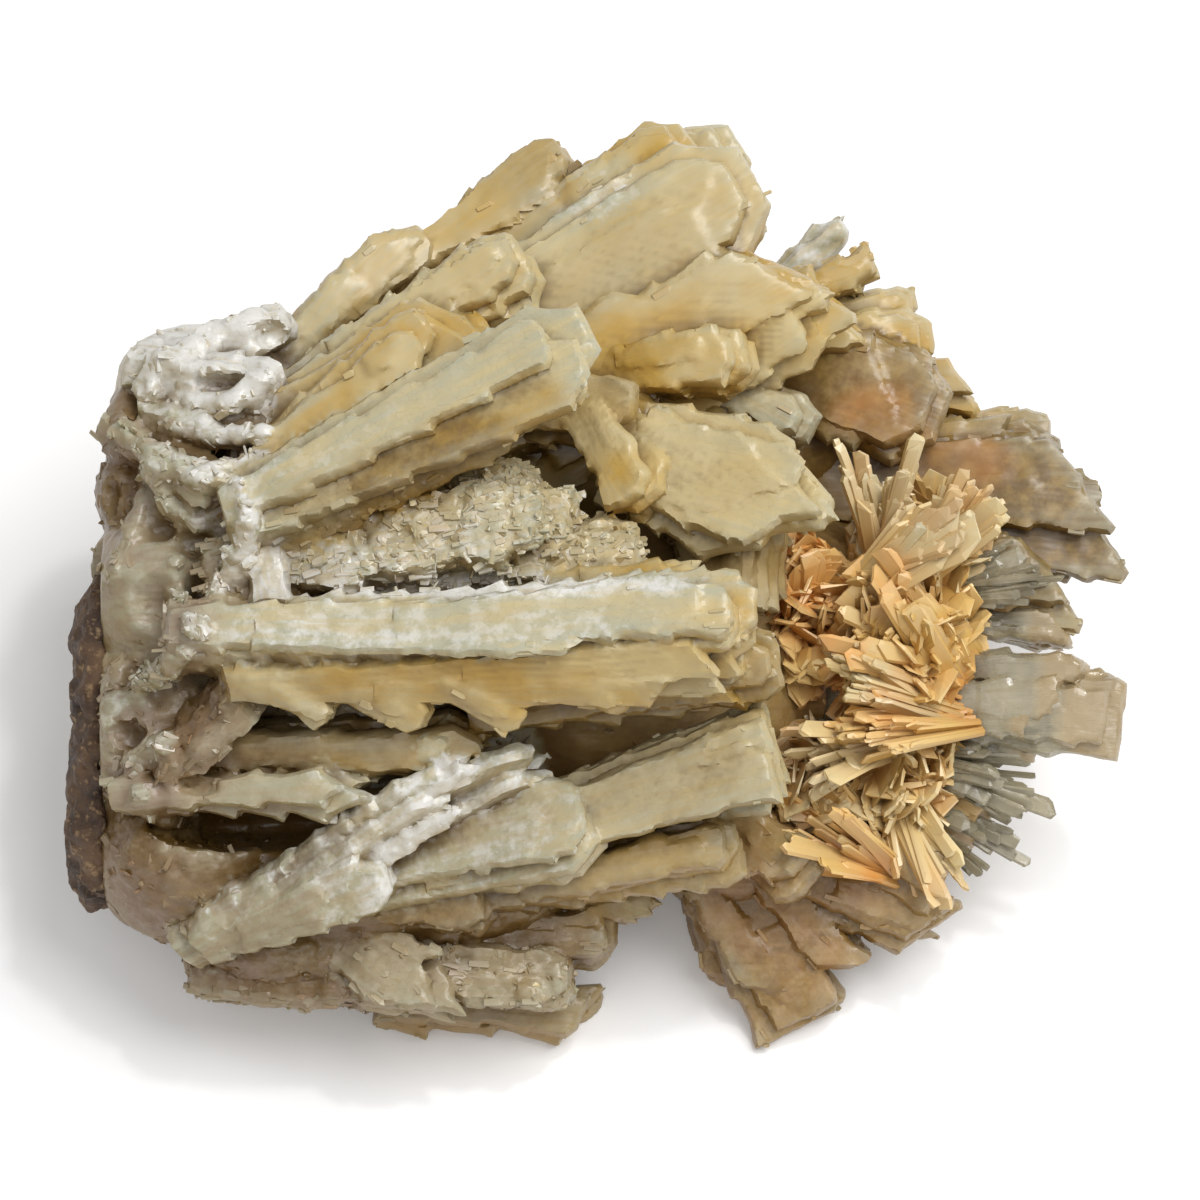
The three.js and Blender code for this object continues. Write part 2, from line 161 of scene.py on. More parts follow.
MIDDLE = rows("""
-46 10 12  -0.4 32 21  14 11 -20 blunt waxy 0.6
-45 8 10  -9 26 15  10 9 22 blunt honey 0.5
-47 2 5  -3 11.4 10  16 14 -15 blunt grain 0.5 1.2
-43 7 2  -8 14.6 8  9 10 -10 blunt grain
-20 2 5  6.4 6.6 8  10 10 -5 blunt grain
-53 -5.2 14  20.8 -3.9 23  12.2 13 -16 blunt waxy 0.5
-46 -8.9 13.2  18.6 -7.6 21.4  9.8 12 24 low honey 0.5 0.5
-46 -8 17.8  -32 -14.4 17.4  6 3.4 24 blunt honey 0.4 0.5
-35 -8 19.2  -20 -14.8 19  6.6 3.4 26 blunt honey 0.4 0.5
-23 -8.2 20.6  -8 -14.8 20.4  6 3.4 22 blunt honey 0.4 0.5
-11 -7.6 22  5 -13 22.2  5.4 3.4 24 blunt honey 0.4 0.5
-16 -14.5 7  23.8 -9 15  8 9 5 blunt khaki
-10 2.6 10  13.6 3.3 17  4.4 4 0 point honey
-4 26 -6  20.2 30.6 3  10.5 10 -10 blunt honey
1 18.4 2  31.8 11 13  19 8 -6 point pale
13 12 -4  22.6 -1.8 7  15 9 18 point khaki
-3 26 0  6.2 10.6 11  9 7 12 blunt honey
-14 24 -4  8 23 4  11 10 0 blunt khaki
8 31 -12  26.4 20 -6  8 8 0 blunt waxy
""")
RIGHT = rows("""
14 32 -24  44.4 22 -15  18 10 -10 blunt amber
12 34 -21  35.6 37 -16  13 8 -4 low honey
16 30 -26  42 32.6 -22  9 7 0 blunt honey
16 33 -27  35.4 42.2 -25  5.5 5 0 square honey
14 33 -31  31.2 47 -30  5 4 0 point frost
16 32 -30  39.6 38.4 -27  5.5 5 0 blunt honey
18 27 -30  48 27.4 -27  7 7 0 low honey
22 18 -27  58.4 19.4 -25  11 8 -6 blunt khaki
24 14 -22  68.2 11.8 -18  18 7 -8 low khaki
26 6 -24  63.4 5 -22  5.5 6 0 square khaki
28 3 -16  60.8 2.4 -12  12.5 6 -5 low khaki
""")
CLEAR = rows("""
28 -1 -16  59.8 -3.8 -13  6 6 5 low glass
28 -11.6 -10  65.8 -14 -5  10.5 6 0 square glass
28 -8 -10  61.8 -8.6 -6  5 5.5 0 blunt glass
30 -18 -11  56 -19.2 -9  2.4 4 0 point glass
""")
LOWER = rows("""
-22 -33 4  24.2 -19.6 13  13 10 -8 square pale
-2 -24 9  22.4 -16.8 15.5  5.5 5 -8 square pale
-16 -37 0  19.2 -31.6 7  8.5 9 0 blunt khaki
-30 -35 2  1.6 -26.6 12  14 10 -20 blunt waxy
-52 -44 0  -5 -18.8 14  10 4.4 62 point sheet
-50 -43 3  -17 -21.6 15  9 4 55 point sheet
-49 -42.6 3  -26 -33 13  8.5 5 8 blunt sheet
-49 -40 5  -14 -19.4 15.6  4 3 30 point snow
-44 -41 6  -16 -25.4 14.6  3.4 2.6 40 point snow
-60 -25 5  -28 -23.4 14  7 10 0 point waxy 0.36 1.5
-57 -18.6 4  -12 -17.4 11  7 9 10 point khaki
-54 -22 9  -43 -11.6 14  5.6 7 30 square brown
-36 -22 6  -17 -17 13.5  4.5 5 0 point waxy
-40 -36 -6  -12 -38 4  9 10 0 blunt khaki
-50 -46.6 -10  -25 -48.4 -5  6 12 0 blunt brown
-34 -40 -4  -16.6 -53 1  13 9 0 point waxy
-28 -50 -14  1.2 -51 -15  8.6 8 -10 high khaki
-24 -43 -7  3 -42.4 -8  8.6 11 0 blunt khaki
-24 -46 -4  -3 -47 -5  9 9 0 blunt grain
-10 -37 -5  7.6 -39 -10  5 9 0 point khaki
12 -29 -15  27 -54.4 -17  13.5 9 0 square umber
16 -29 -12  31.8 -47 -15  9 8 0 high umber
16 -31 -11  44.4 -40.4 -12  8.6 7 0 high umber
12 -31 -17  18.6 -49 -23  10 11 0 blunt umber
18 -25 -12  43.6 -35.6 -7  7 7 0 square umber
12 -24 -10  27 -36 -1  10 8 0 blunt umber
""")
LEFT = rows("""
-58 29 -3  -39 25 6  8 7 10 blunt frost
-56 24 0  -41 21.4 7  5 7 30 blunt frost
-50 27 -6  -39 36.4 -2  6 9 0 blunt frost
-59.4 21.6 -4  -45 12.4 10  5.6 9 20 square frost
-44 20 2  -42 -4 14  7 9 0 square frost
""")
FAR_SIDE = rows("""
-10 16 -26  13 50 -36  15 7 14 blunt honey
-2 12 -28  35 31 -41  15 7 -12 low khaki
-2 2 -30  50 11 -37  15 7 8 high khaki
-2 -8 -27  44 -12 -28  14 7 -10 square khaki
-20 14 -26  -12 46 -38  14 7 20 blunt honey
-34 12 -24  -38 36 -34  13 7 -16 point pale
-16 10 -30  8 36 -50  13 6 40 point khaki
-34 4 -28  -34 22 -50  14 7 30 blunt grain
0 0 -30  30 6 -48  12 6 50 point khaki
-46 6 -22  -58 16 -34  12 8 10 blunt frost
-8 6 -32  -6 14 -54  13 6 70 low khaki
""")

# Rounded masses that the crystals grow out of: centre, half sizes and tint.
LUMPS = rows("""
-26 -12 -18  33 25 26  grain
2 -8 -19  31 23 25  umber
-8 22 -17  27 20 15  khaki
-44 10 -8  17 22 19  frost
26 -6 -18  20 18 12  amber
18 22 -24  18 14 10  khaki
39 -25 -14  11 9 7  umber
41 3 -14  11 10 6  amber
-26 -32 -8  28 15 16  khaki
18 -28 -16  14 13 10  umber
-50 27 -8  11.4 7.4 12  frost
-59.4 12.6 -6  3.8 5.4 8  brown
-58.6 21 -6  3.6 6 9  brown
-53 0 -5  13 13 16  frost
-53 -16 -6  14 16 17  grain
-51 -31 -7  14 12.6 16  brown
-38 -43 -10  14 6.4 14  brown
""")
# What is cut out of them: centre and half sizes.
HOLLOWS = rows("""
-49 19 6  8.4 3.4 16
-44 -29 10  14 3.4 14
-46 30 6  5.5 3 7
""")
# Round hollows in the near side of the left mass: place in the picture, half sizes and half depth.
BOWLS = rows("""
-41.2 33.2  2.6 2.2  3.4
-47.6 26.4  4.8 2  3.6
-45.4 22.6  4.4 1.7  3.4
-54.6 8.8  2.4 1.9  2.4
-50.8 6.8  2.8 2.2  2.4
-55.4 -1.6  4.2 5.2  2.2
-49.6 0.4  2.4 3.2  1.8
-58.4 -9.4  3 3  2
-58.6 -17.4  3.2 2.6  3.4
-61.2 12.4  1.6 3.4  2.6
-50.4 -23.6  2.6 1.4  2.6
""")
# Rounded ridges that wander over it: radius, then places in the picture.
RIDGES = rows("""
1.2  -59.7 20.4  -55 17.2  -50 15.2  -47.4 15.5  -42.3 17.7
1.1  -55.5 15.8  -53 12  -50 10
1  -45.1 14.4  -44.3 10  -44.4 5  -46 0.5  -50 -3.5
0.8  -61 -14.6  -57 -11.8  -51.5 -6.4
1.3  -53.5 -18.5  -57 -21.5  -57 -25.5  -51.5 -29.5
1.4  -57 25.6  -53.6 29.8  -48 32.4  -43 35
1  -50.6 24.4  -46 24.6  -41.5 27.4
1.1  -52.5 21.4  -47.5 20  -42 20.8
0.8  -60.2 3  -58 8  -56.5 12.5
0.7  -52.4 4  -52 0  -50.6 -3
""")
# The rock, as lumps that are cut off where the crystals begin.
ROCK_LUMPS = rows("""
-62.4 -4 -6  2.8 5.6 9
-62.4 -12 -8  2.6 8 11
-62.4 -21 -9  3.6 8 12
-62.4 -28 -9  4.2 7 11
-62.4 -33 -10  2.8 4.6 9
""")
ROCK_CENTRE = (-62.4, -20, -8)
ROCK_FACE_X = -63.4
ROCK_BACK_Y = -2.0
ROCK_GAP = 0.2
# The lumps of the part's source are hulls of few points, which lie a little inside their ellipsoids.
LUMP_SHRINK = 0.93

# The sprays of thin blades: from, to, number, spread in degrees, width, roll in degrees and tint. Those of
# glass are clear.
SPRAYS = rows("""
35 3 -8  36 20.4 1  11 20 5.4 12 rose
40 3 -7  49.6 17 1  10 17 5.4 20 peach
33 2 -3  46 12.6 5  12 18 6.4 15 rose
44 -9 -6  30.5 1 7  20 30 8 15 orange
45 -14 -5  29 -8.6 8  16 10 4 62 peach
45 -15 -5  30 -16.4 8  16 10 4 62 orange
40 -17 -7  25 -21 6  16 14 4.4 50 rose
40 -36 -10  23 -27.4 4  14 18 5 40 orange
36 -22 -8  43.4 -39 -1  14 14 4.6 40 peach
35 -19 -10  57 -25 -4  14 15 4 35 glass
35 -23 -12  52.6 -33 -6  12 11 4.6 25 glass
38 0 -11  58 3.6 -5  12 11 4.4 30 glass
""")
# Small blades that bristle all over the middle of the fans: centre, half sizes, number and tint.
ROSETTES = rows("""
37 -6 -12  13 16 17  190 orange
36 -22 -14  13 13 15  140 peach
40 6 -14  11 11 13  90 peach
25 -2 -12  7 13 14  110 orange
26 -22 -10  7 9 10  80 rose
""")

# The grid that the mass is worked out on.
STEP = 0.6
GRID_LOW = np.array([-70.0, -58.0, -1.8])
GRID_HIGH = np.array([71.0, 58.0, 82.0])
SHAPE = tuple(int(n) for n in np.ceil((GRID_HIGH - GRID_LOW) / STEP) + 1)
LINES = [(GRID_LOW[a] + STEP * np.arange(SHAPE[a])).astype(np.float32) for a in range(3)]
# How far from the mass an empty grid counts as being, and how far round a shape its distances are worked out.
FAR = 3.0
REACH = 2.4
TINY = 1e-6


def spline_weights(line, low, cell, count):
    """How much each point of a lattice adds at each place of a line, as smooth cubic bumps."""
    at = (line - low) / cell + 1.5
    first = np.floor(at).astype(int)
    t = at - first
    weights = np.zeros((len(line), count), np.float32)
    places = np.arange(len(line))
    bumps = ((1 - t) ** 3, 3 * t**3 - 6 * t**2 + 4, -3 * t**3 + 3 * t**2 + 3 * t + 1, t**3)
    for offset, bump in enumerate(bumps):
        weights[places, first - 1 + offset] = bump / 6
    return weights


def noise_volume(cell, seed):
    """Smooth noise over the whole grid, about -1 to 1, whose lumps are two cells across."""
    counts = [int((LINES[a][-1] - LINES[a][0]) / cell) + 6 for a in range(3)]
    values = np.random.default_rng(seed).uniform(-2.4, 2.4, counts).astype(np.float32)
    for a in range(3):
        weights = spline_weights(LINES[a], LINES[a][0], cell, counts[a])
        values = np.moveaxis(np.tensordot(weights, values, axes=(1, a)), 0, a)
    return values


# The grid's own points, bent a little, so that no blade is quite straight.
BEND = 0.6
BEND_CELL = 9.0
bent = [
    (LINES[a].reshape([-1 if a == b else 1 for b in range(3)]) + BEND * noise_volume(BEND_CELL, 100 + a))
    for a in range(3)
]
edge_noise = noise_volume(1.7, 31)
swell_noise = noise_volume(6.5, 34)
broad_noise = noise_volume(3.0, 32)
fine_noise = noise_volume(1.0, 33)


def slices(low, high):
    """The part of the grid between two corners."""
    found = []
    for a in range(3):
        first = max(int((low[a] - GRID_LOW[a]) / STEP), 0)
        last = min(int((high[a] - GRID_LOW[a]) / STEP) + 2, SHAPE[a])
        found.append(slice(first, max(last, first)))
    return tuple(found)


class Crystal:
    """A tabular crystal: a plate with bevelled edges, in axes along it, across it and out of its broad face."""

    def __init__(self, start, along, out, length, wide, thick, end, tint, bevel, lobes, rng):
        self.start, self.along, self.across, self.out = start, along, np.cross(out, along), out
        self.length, self.wide, self.thick = length, wide, thick
        self.end, self.tint, self.lobes = end, tint, lobes
        self.inset = bevel * wide / 2
        self.half = thick / 2
        self.slope = math.hypot(self.inset, self.half)
        # Its sides carry lobes that point to its tip.
        self.period = rng.uniform(4.0, 9.0)
        self.phase = rng.random()
        self.scallop = rng.uniform(0.3, 1.1) * lobes

    def plan(self):
        """The corners of the plan, in order, as (forward, side)."""
        half = self.wide / 2
        corners = [(0, ROOT_WIDTH * half), (0, -ROOT_WIDTH * half)]
        corners += [(self.length - back * self.wide, side * half) for back, side in ENDS[self.end]]
        return np.array(corners)

    def corners(self):
        return np.array([
            self.start + self.along * forward + self.across * side + self.out * lift
            for forward, side in self.plan() for lift in (-self.half, self.half)
        ])


def crystal_from(row, rng):
    length, along = straight(place(row[:3]), place(row[3:6]))
    wide, thick, roll, end, tint = row[6:11]
    bevel, lobes = row[11:] + [BEVEL, 1.0][len(row) - 11:]
    out = facing_eye(along, math.radians(roll))
    return Crystal(place(row[:3]), along, out, length, wide, thick, end, tint, bevel, lobes, rng)


# Each crystal is a book of plates, with a few thinner ones grown on its broad faces.
PLATE = 2.3
OUTGROWTHS = 4
OVERLAP = 1.15
STANDS_PROUD = 0.7
YAW = math.radians(3)
TWIST = math.radians(4)
EDGE_INSET = 0.5
JAG = 0.2


def leaf(parent, forward, side, lift, length, wide, thick, end, rng):
    """A plate of a crystal, nearly parallel to it."""
    along = turned(parent.along, parent.out, rng.uniform(-YAW, YAW))
    out = turned(parent.out, parent.along, rng.uniform(-TWIST, TWIST))
    out = unit(out - along * (out @ along))
    start = parent.start + parent.along * forward + parent.across * side + parent.out * lift
    bevel = 2 * EDGE_INSET / wide
    return Crystal(start, along, out, length, wide, thick, end, parent.tint, bevel, parent.lobes, rng)


def family(parent, rng):
    """The plates that a crystal is made of."""
    layers = max(2, round(parent.thick / PLATE))
    each = parent.thick / layers
    bevel = 2 * parent.inset / parent.wide
    made = []
    for layer in range(layers):
        lift = (layer + 0.5) * each - parent.half
        inset = parent.inset * abs(lift) / parent.half
        wide = (parent.wide - 2 * inset) * rng.uniform(0.9, 1.04)
        length = parent.length - inset - parent.wide * rng.uniform(0, 0.12)
        side = rng.uniform(-0.04, 0.04) * parent.wide
        made.append(leaf(parent, 0, side, lift, length, wide, each * OVERLAP, parent.end, rng))
    for _ in range(OUTGROWTHS):
        wide = parent.wide * rng.uniform(0.35, 0.7)
        thick = rng.uniform(1.2, 2.4)
        length = parent.length * rng.uniform(0.3, 0.7)
        side = rng.uniform(-0.5, 0.5) * (parent.wide * (1 - bevel / 2) - wide)
        lift = rng.choice((-1, 1)) * (parent.half + STANDS_PROUD * rng.uniform(0.3, 1) - thick / 2)
        forward = (parent.length - length) * rng.uniform(0.4, 1.0) - parent.inset
        end = str(rng.choice(("blunt", "low", "high", "blunt", "point")))
        made.append(leaf(parent, forward, side, lift, length, wide, thick, end, rng))
    return made


# How wide the fillets are where crystals meet, in mm. They are widest on the left, where the roots have fused.
SMOOTH = (0.45 + 1.2 * np.clip((-20 - LINES[0]) / 30, 0, 1)).astype(np.float32).reshape(-1, 1, 1)
owners = []


def joined(one, other, smooth):
    """The lesser of two distances, with a fillet between them."""
    share = np.clip(0.5 + 0.5 * (one - other) / smooth, 0, 1)
    return one * (1 - share) + other * share - smooth * share * (1 - share)


def settle(field, part, distance):
    """Joins the newest shape to the mass with a small fillet, and notes which grid points are its own."""
    values, names = field
    old = values[part]
    names[part][distance < old] = len(owners) - 1
    values[part] = joined(old, distance, SMOOTH[part[0]])


def add_crystal(field, crystal):
    corners = crystal.corners()
    part = slices(corners.min(0) - REACH, corners.max(0) + REACH)
    relative = []
    for axis in (crystal.along, crystal.across, crystal.out):
        axis = axis.astype(np.float32)
        relative.append(sum(b[part] * a for b, a in zip(bent, axis)) - np.float32(axis @ crystal.start))
    forward, side, lift = relative
    plan = crystal.plan()
    rim = np.full(forward.shape, -1e3, np.float32)
    for (x0, y0), (x1, y1) in zip(plan, np.roll(plan, -1, axis=0)):
        edge = math.hypot(x1 - x0, y1 - y0)
        nx, ny = (y1 - y0) / edge, -(x1 - x0) / edge
        np.maximum(rim, nx * (forward - x0) + ny * (side - y0), out=rim)
    teeth = forward / np.float32(crystal.period) + np.float32(crystal.phase)
    teeth -= np.floor(teeth)
    rim += JAG * edge_noise[part] + crystal.scallop * (0.4 - teeth * teeth)
    height = np.abs(lift)
    owners.append(crystal)
    settle(field, part, np.maximum(height - crystal.half,
                                   (height * crystal.inset + rim * crystal.half) / crystal.slope))


def lump(at, size):
    """The grid round an ellipsoid that lies square to the picture, and the rough distance to it there."""
    centre = place(at)
    half = np.array([size[0], math.hypot(size[1] * UP[1], size[2] * TO_EYE[1]),
                     math.hypot(size[1] * UP[2], size[2] * TO_EYE[2])])
    part = slices(centre - half - REACH, centre + half + REACH)
    local = [b[part] - c for b, c in zip(bent, centre)]
    u = local[0] / size[0]
    v = (local[1] * UP[1] + local[2] * UP[2]) / size[1]
    w = (local[1] * TO_EYE[1] + local[2] * TO_EYE[2]) / size[2]
    reach = np.sqrt(u * u + v * v + w * w) + TINY
    slope = np.sqrt((u / size[0]) ** 2 + (v / size[1]) ** 2 + (w / size[2]) ** 2) + TINY
    return part, (reach * (reach - 1) / slope).astype(np.float32)


def carve(field, at, size):
    part, distance = lump(at, size)
    field[0][part] = np.maximum(field[0][part], -distance)


class Lump:
    """A shape without flat faces, whose own axes are the picture's."""
    along, across, out = np.array([1.0, 0.0, 0.0]), UP, TO_EYE

    def __init__(self, at, tint):
        self.start, self.tint = place(at), tint


def new_field():
    return np.full(SHAPE, FAR, np.float32), np.full(SHAPE, -1, np.int16)


def heart_field():
    field = new_field()
    for *numbers, tint in LUMPS:
        owners.append(Lump(numbers[:3], tint))
        settle(field, *lump(numbers[:3], [s * LUMP_SHRINK for s in numbers[3:]]))
    for row in HOLLOWS:
        carve(field, row[:3], row[3:])
    return field


def crystal_field(table, seed):
    field = new_field()
    rng = np.random.default_rng(seed)
    for row in table:
        for crystal in family(crystal_from(row, rng), rng):
            add_crystal(field, crystal)
    return field


# The heights towards the eye at which the surface is looked for. Bowls are dug from a little above it, and
# ridges waver in width by this share.
HEIGHTS = np.arange(34, -30, -0.3)
BOWL_RISE = 0.3
RIDGE_WAVER = 0.4
RIDGE_HEIGHT = 8.0


def near_surface(field, at):
    """The height towards the eye at which the mass begins, at a place in the picture."""
    inside = sampled(field[0], np.array([place((*at, w)) for w in HEIGHTS])) < 0
    return HEIGHTS[inside.argmax()] if inside.any() else None


def add_bowls(field):
    for *at, wide, high, depth in BOWLS:
        top = near_surface(field, at)
        if top is not None:
            carve(field, (*at, top + BOWL_RISE * depth), (wide, high, depth))


def add_ridges(field):
    for radius, *numbers in RIDGES:
        places = list(zip(numbers[::2], numbers[1::2]))
        tops = [near_surface(field, at) for at in places]
        stops = [place((*at, top)) for at, top in zip(places, tops) if top is not None]
        owners.append(Lump((*places[0], RIDGE_HEIGHT), "ridge"))
        for one, other in zip(stops, stops[1:]):
            part = slices(np.minimum(one, other) - radius - REACH, np.maximum(one, other) + radius + REACH)
            way = other - one
            local = [b[part] - c for b, c in zip(bent, one)]
            along = np.clip(sum(p * w for p, w in zip(local, way)) / (way @ way), 0, 1)
            away = np.sqrt(sum((p - along * w) ** 2 for p, w in zip(local, way)))
            settle(field, part, (away - radius * (1 + RIDGE_WAVER * edge_noise[part])).astype(np.float32))


def rock_field():
    field = new_field()
    owners.append(Lump(ROCK_CENTRE, "rock"))
    for row in ROCK_LUMPS:
        settle(field, *lump(row[:3], row[3:]))
    np.maximum(field[0], LINES[0].reshape(-1, 1, 1) - ROCK_FACE_X, out=field[0])
    return field


# How a place in the picture differs from its crystal's own tint: centre, half sizes, and what it adds to the
# masks. Honey, frost, stain, dark and mauve are colours, rough makes a grainy crust, and the crease mask paints
# shade into creases and hollows.
# The dark zones at the bottom and along the underside of the big middle blade are partly the crystal's darker
# colour and partly painted shade on faces turned down.
ZONES = rows("""
-56 0 0  10 30 40  frost -0.65 rough 0.25 mauve 1.1 dark 0.35
-61 14 -2  4 10 20  mauve 0.6 dark 0.2 frost -0.6
-10 20 4  16 4.5 12  deep 0.6
-47 18 2  9 4 10  deep 1
-44 -30 4  16 5 12  deep 0.8 dark 0.5
-5 -13 8  26 2.5 10  deep 0.5
24 22 -12  5 7 10  deep 0.8
-48 -34 0  18 16 40  mauve 1 rough 0.15 frost -0.45 dark 0.25
-45 29 4  13 8 20  frost 0.3 rough 0.1
-24 9 10  22 9 14  rough 0.6 frost 0.2
-14 1.8 22  34 1.8 14  frost 0.6 rough 0.15
-14 -3.5 22  34 3 14  frost 0.25 dark 0.15
-10 -11 12  40 4 14  dark 0.45 honey 0.3
-2 51 -10  10 5 14  frost 0.5 rough 0.4
11 42 -6  15 12 12  honey 0.25 dark 0.22
-20 44 -12  16 10 12  dark -0.4 frost 0.15
-20 -30 6  24 12 20  frost 0.25
-18 -46 0  28 9 20  dark 0.5 rough 0.4 mauve 0.6 frost -0.2
-34 11.8 16  7 4.2 14  dark 0.6 honey 0.8 frost -0.5
-25 15.6 17  7 4.2 14  dark 0.8 honey 0.9 frost -0.5
-16 19.8 18  7 4.2 14  dark 0.8 honey 0.9 frost -0.5
-7 23.8 19  6 4 14  dark 0.3 honey 0.7 frost -0.4
17 -4 24  8 7 10  honey 0.6 frost -0.35
10 -23 10  14 8 14  dark 0.5 frost 0.1
-14 -30 8  13 8 14  dark 0.4 mauve 0.3
-34 -15 8  16 5 14  dark 0.3
36 23 -10  7 4 12  stain 0.6 dark 0.3
28 18 -14  11 9 12  dark 0.9 honey 0.4
45 17 -14  7 4 12  stain 0.6 dark 0.6
56 10 -18  14 14 16  dark 0.9 stain -0.1 frost -0.2 honey 0.5
38 -8 -6  14 22 14  stain 0.5
22 -38 -12  16 14 14  stain 0.1 dark 0.35
""")


def zone_amounts(points, name):
    """How much the zones add of one thing at each point, fading towards their edges."""
    seen = picture(points)
    total = np.zeros(len(points))
    for row in ZONES:
        if name in row:
            away = np.linalg.norm((seen - np.array(row[:3])) / np.array(row[3:6]), axis=1)
            total += row[row.index(name) + 1] * np.clip(1.6 * (1.25 - away), 0, 1)
    return total


def hashed(cells, salt):
    """A repeatable number from 0 to 1 for each whole-numbered cell."""
    mixed = (cells[:, 0] * 73856093) ^ (cells[:, 1] * 19349663) ^ (cells[:, 2] * 83492791) ^ (salt * 2654435761)
    mixed = (mixed ^ (mixed >> 13)) * 1274126177 & 0x7FFFFFFF
    return ((mixed ^ (mixed >> 16)) & 0xFFFFF) / float(0xFFFFF)


def pebbles(points, size):
    """Height of a crust of close-set grains, from 0 in the cracks to 1 on the grains."""
    scaled = points / size
    home = np.floor(scaled).astype(np.int64)
    nearest = np.full(len(points), np.inf)
    for step in np.ndindex(3, 3, 3):
        cell = home + np.array(step) - 1
        centre = cell + np.stack([hashed(cell, salt) for salt in (1, 2, 3)], axis=1)
        nearest = np.minimum(nearest, ((scaled - centre) ** 2).sum(1))
    return np.clip(1 - nearest / 0.7, 0, 1)


NO_TINT = 0.2


def tint_table(column):
    """One mask's amount for each shape, and for what belongs to none."""
    return np.array([TINTS[o.tint][column] for o in owners] + [NO_TINT], np.float32)


# The relief in mm: the swell, what a smooth face has of the broad and fine noise, and what roughness adds.
SWELL = 0.2
BROAD, BROAD_IF_ROUGH = 0.04, 0.34
FINE, FINE_IF_ROUGH = 0.02, 0.26
RELIEF_BAND = 1.8
PEBBLE_SIZE = 2.0
# Pebbles grow where the roughness is over the first number, by what it has above the second.
PEBBLY = 0.5
SMOOTHEST_PEBBLES = 0.4


def roughen(field):
    """Adds the surface's relief in a thin band round the skin."""
    values, names = field
    band = np.nonzero(np.abs(values) < RELIEF_BAND)
    points = np.stack([LINES[a][band[a]] for a in range(3)], axis=1).astype(np.float64)
    rough = np.clip(tint_table(5)[names[band]] + zone_amounts(points, "rough"), 0, 1.5)
    relief = SWELL * swell_noise[band] + (BROAD + BROAD_IF_ROUGH * rough) * broad_noise[band]
    relief += (FINE + FINE_IF_ROUGH * rough) * fine_noise[band]
    grainy = np.nonzero(rough > PEBBLY)[0]
    relief[grainy] += (rough[grainy] - SMOOTHEST_PEBBLES) * pebbles(points[grainy], PEBBLE_SIZE)
    values[band] -= relief.astype(np.float32)


# The skin of a field: one corner in each grid cell that the surface passes, one four-sided face for each grid
# line that crosses it.
PULL = 0.06
FARTHEST_MOVE = 0.75
NEIGHBOURS = {
    0: ((0, -1, -1), (0, 0, -1), (0, 0, 0), (0, -1, 0)),
    1: ((-1, 0, -1), (-1, 0, 0), (0, 0, 0), (0, 0, -1)),
    2: ((-1, -1, 0), (0, -1, 0), (0, 0, 0), (-1, 0, 0)),
}


def face_normals(points, names):
    """The flat face of its crystal that each point lies on, as that face's outward direction."""
    normals = np.zeros_like(points)
    for name in np.unique(names[names >= 0]):
        owner = owners[name]
        if not isinstance(owner, Crystal):
            continue
        chosen = names == name
        local = points[chosen] - owner.start
        forward, side, lift = local @ owner.along, local @ owner.across, local @ owner.out
        plan = owner.plan()
        ahead = np.roll(plan, -1, axis=0) - plan
        ahead /= np.linalg.norm(ahead, axis=1, keepdims=True)
        outward = np.stack([ahead[:, 1], -ahead[:, 0]], axis=1)
        rims = (forward[:, None] - plan[:, 0]) * outward[:, 0] + (side[:, None] - plan[:, 1]) * outward[:, 1]
        nearest = outward[rims.argmax(1)]
        rim, height = rims.max(1), np.abs(lift)
        on_face = height - owner.half > (height * owner.inset + rim * owner.half) / owner.slope
        up = np.sign(lift)[:, None] * owner.out
        rim_way = nearest[:, :1] * owner.along + nearest[:, 1:] * owner.across
        bevel_way = (up * owner.inset + rim_way * owner.half) / owner.slope
        normals[chosen] = np.where(on_face[:, None], up, bevel_way)
    return normals


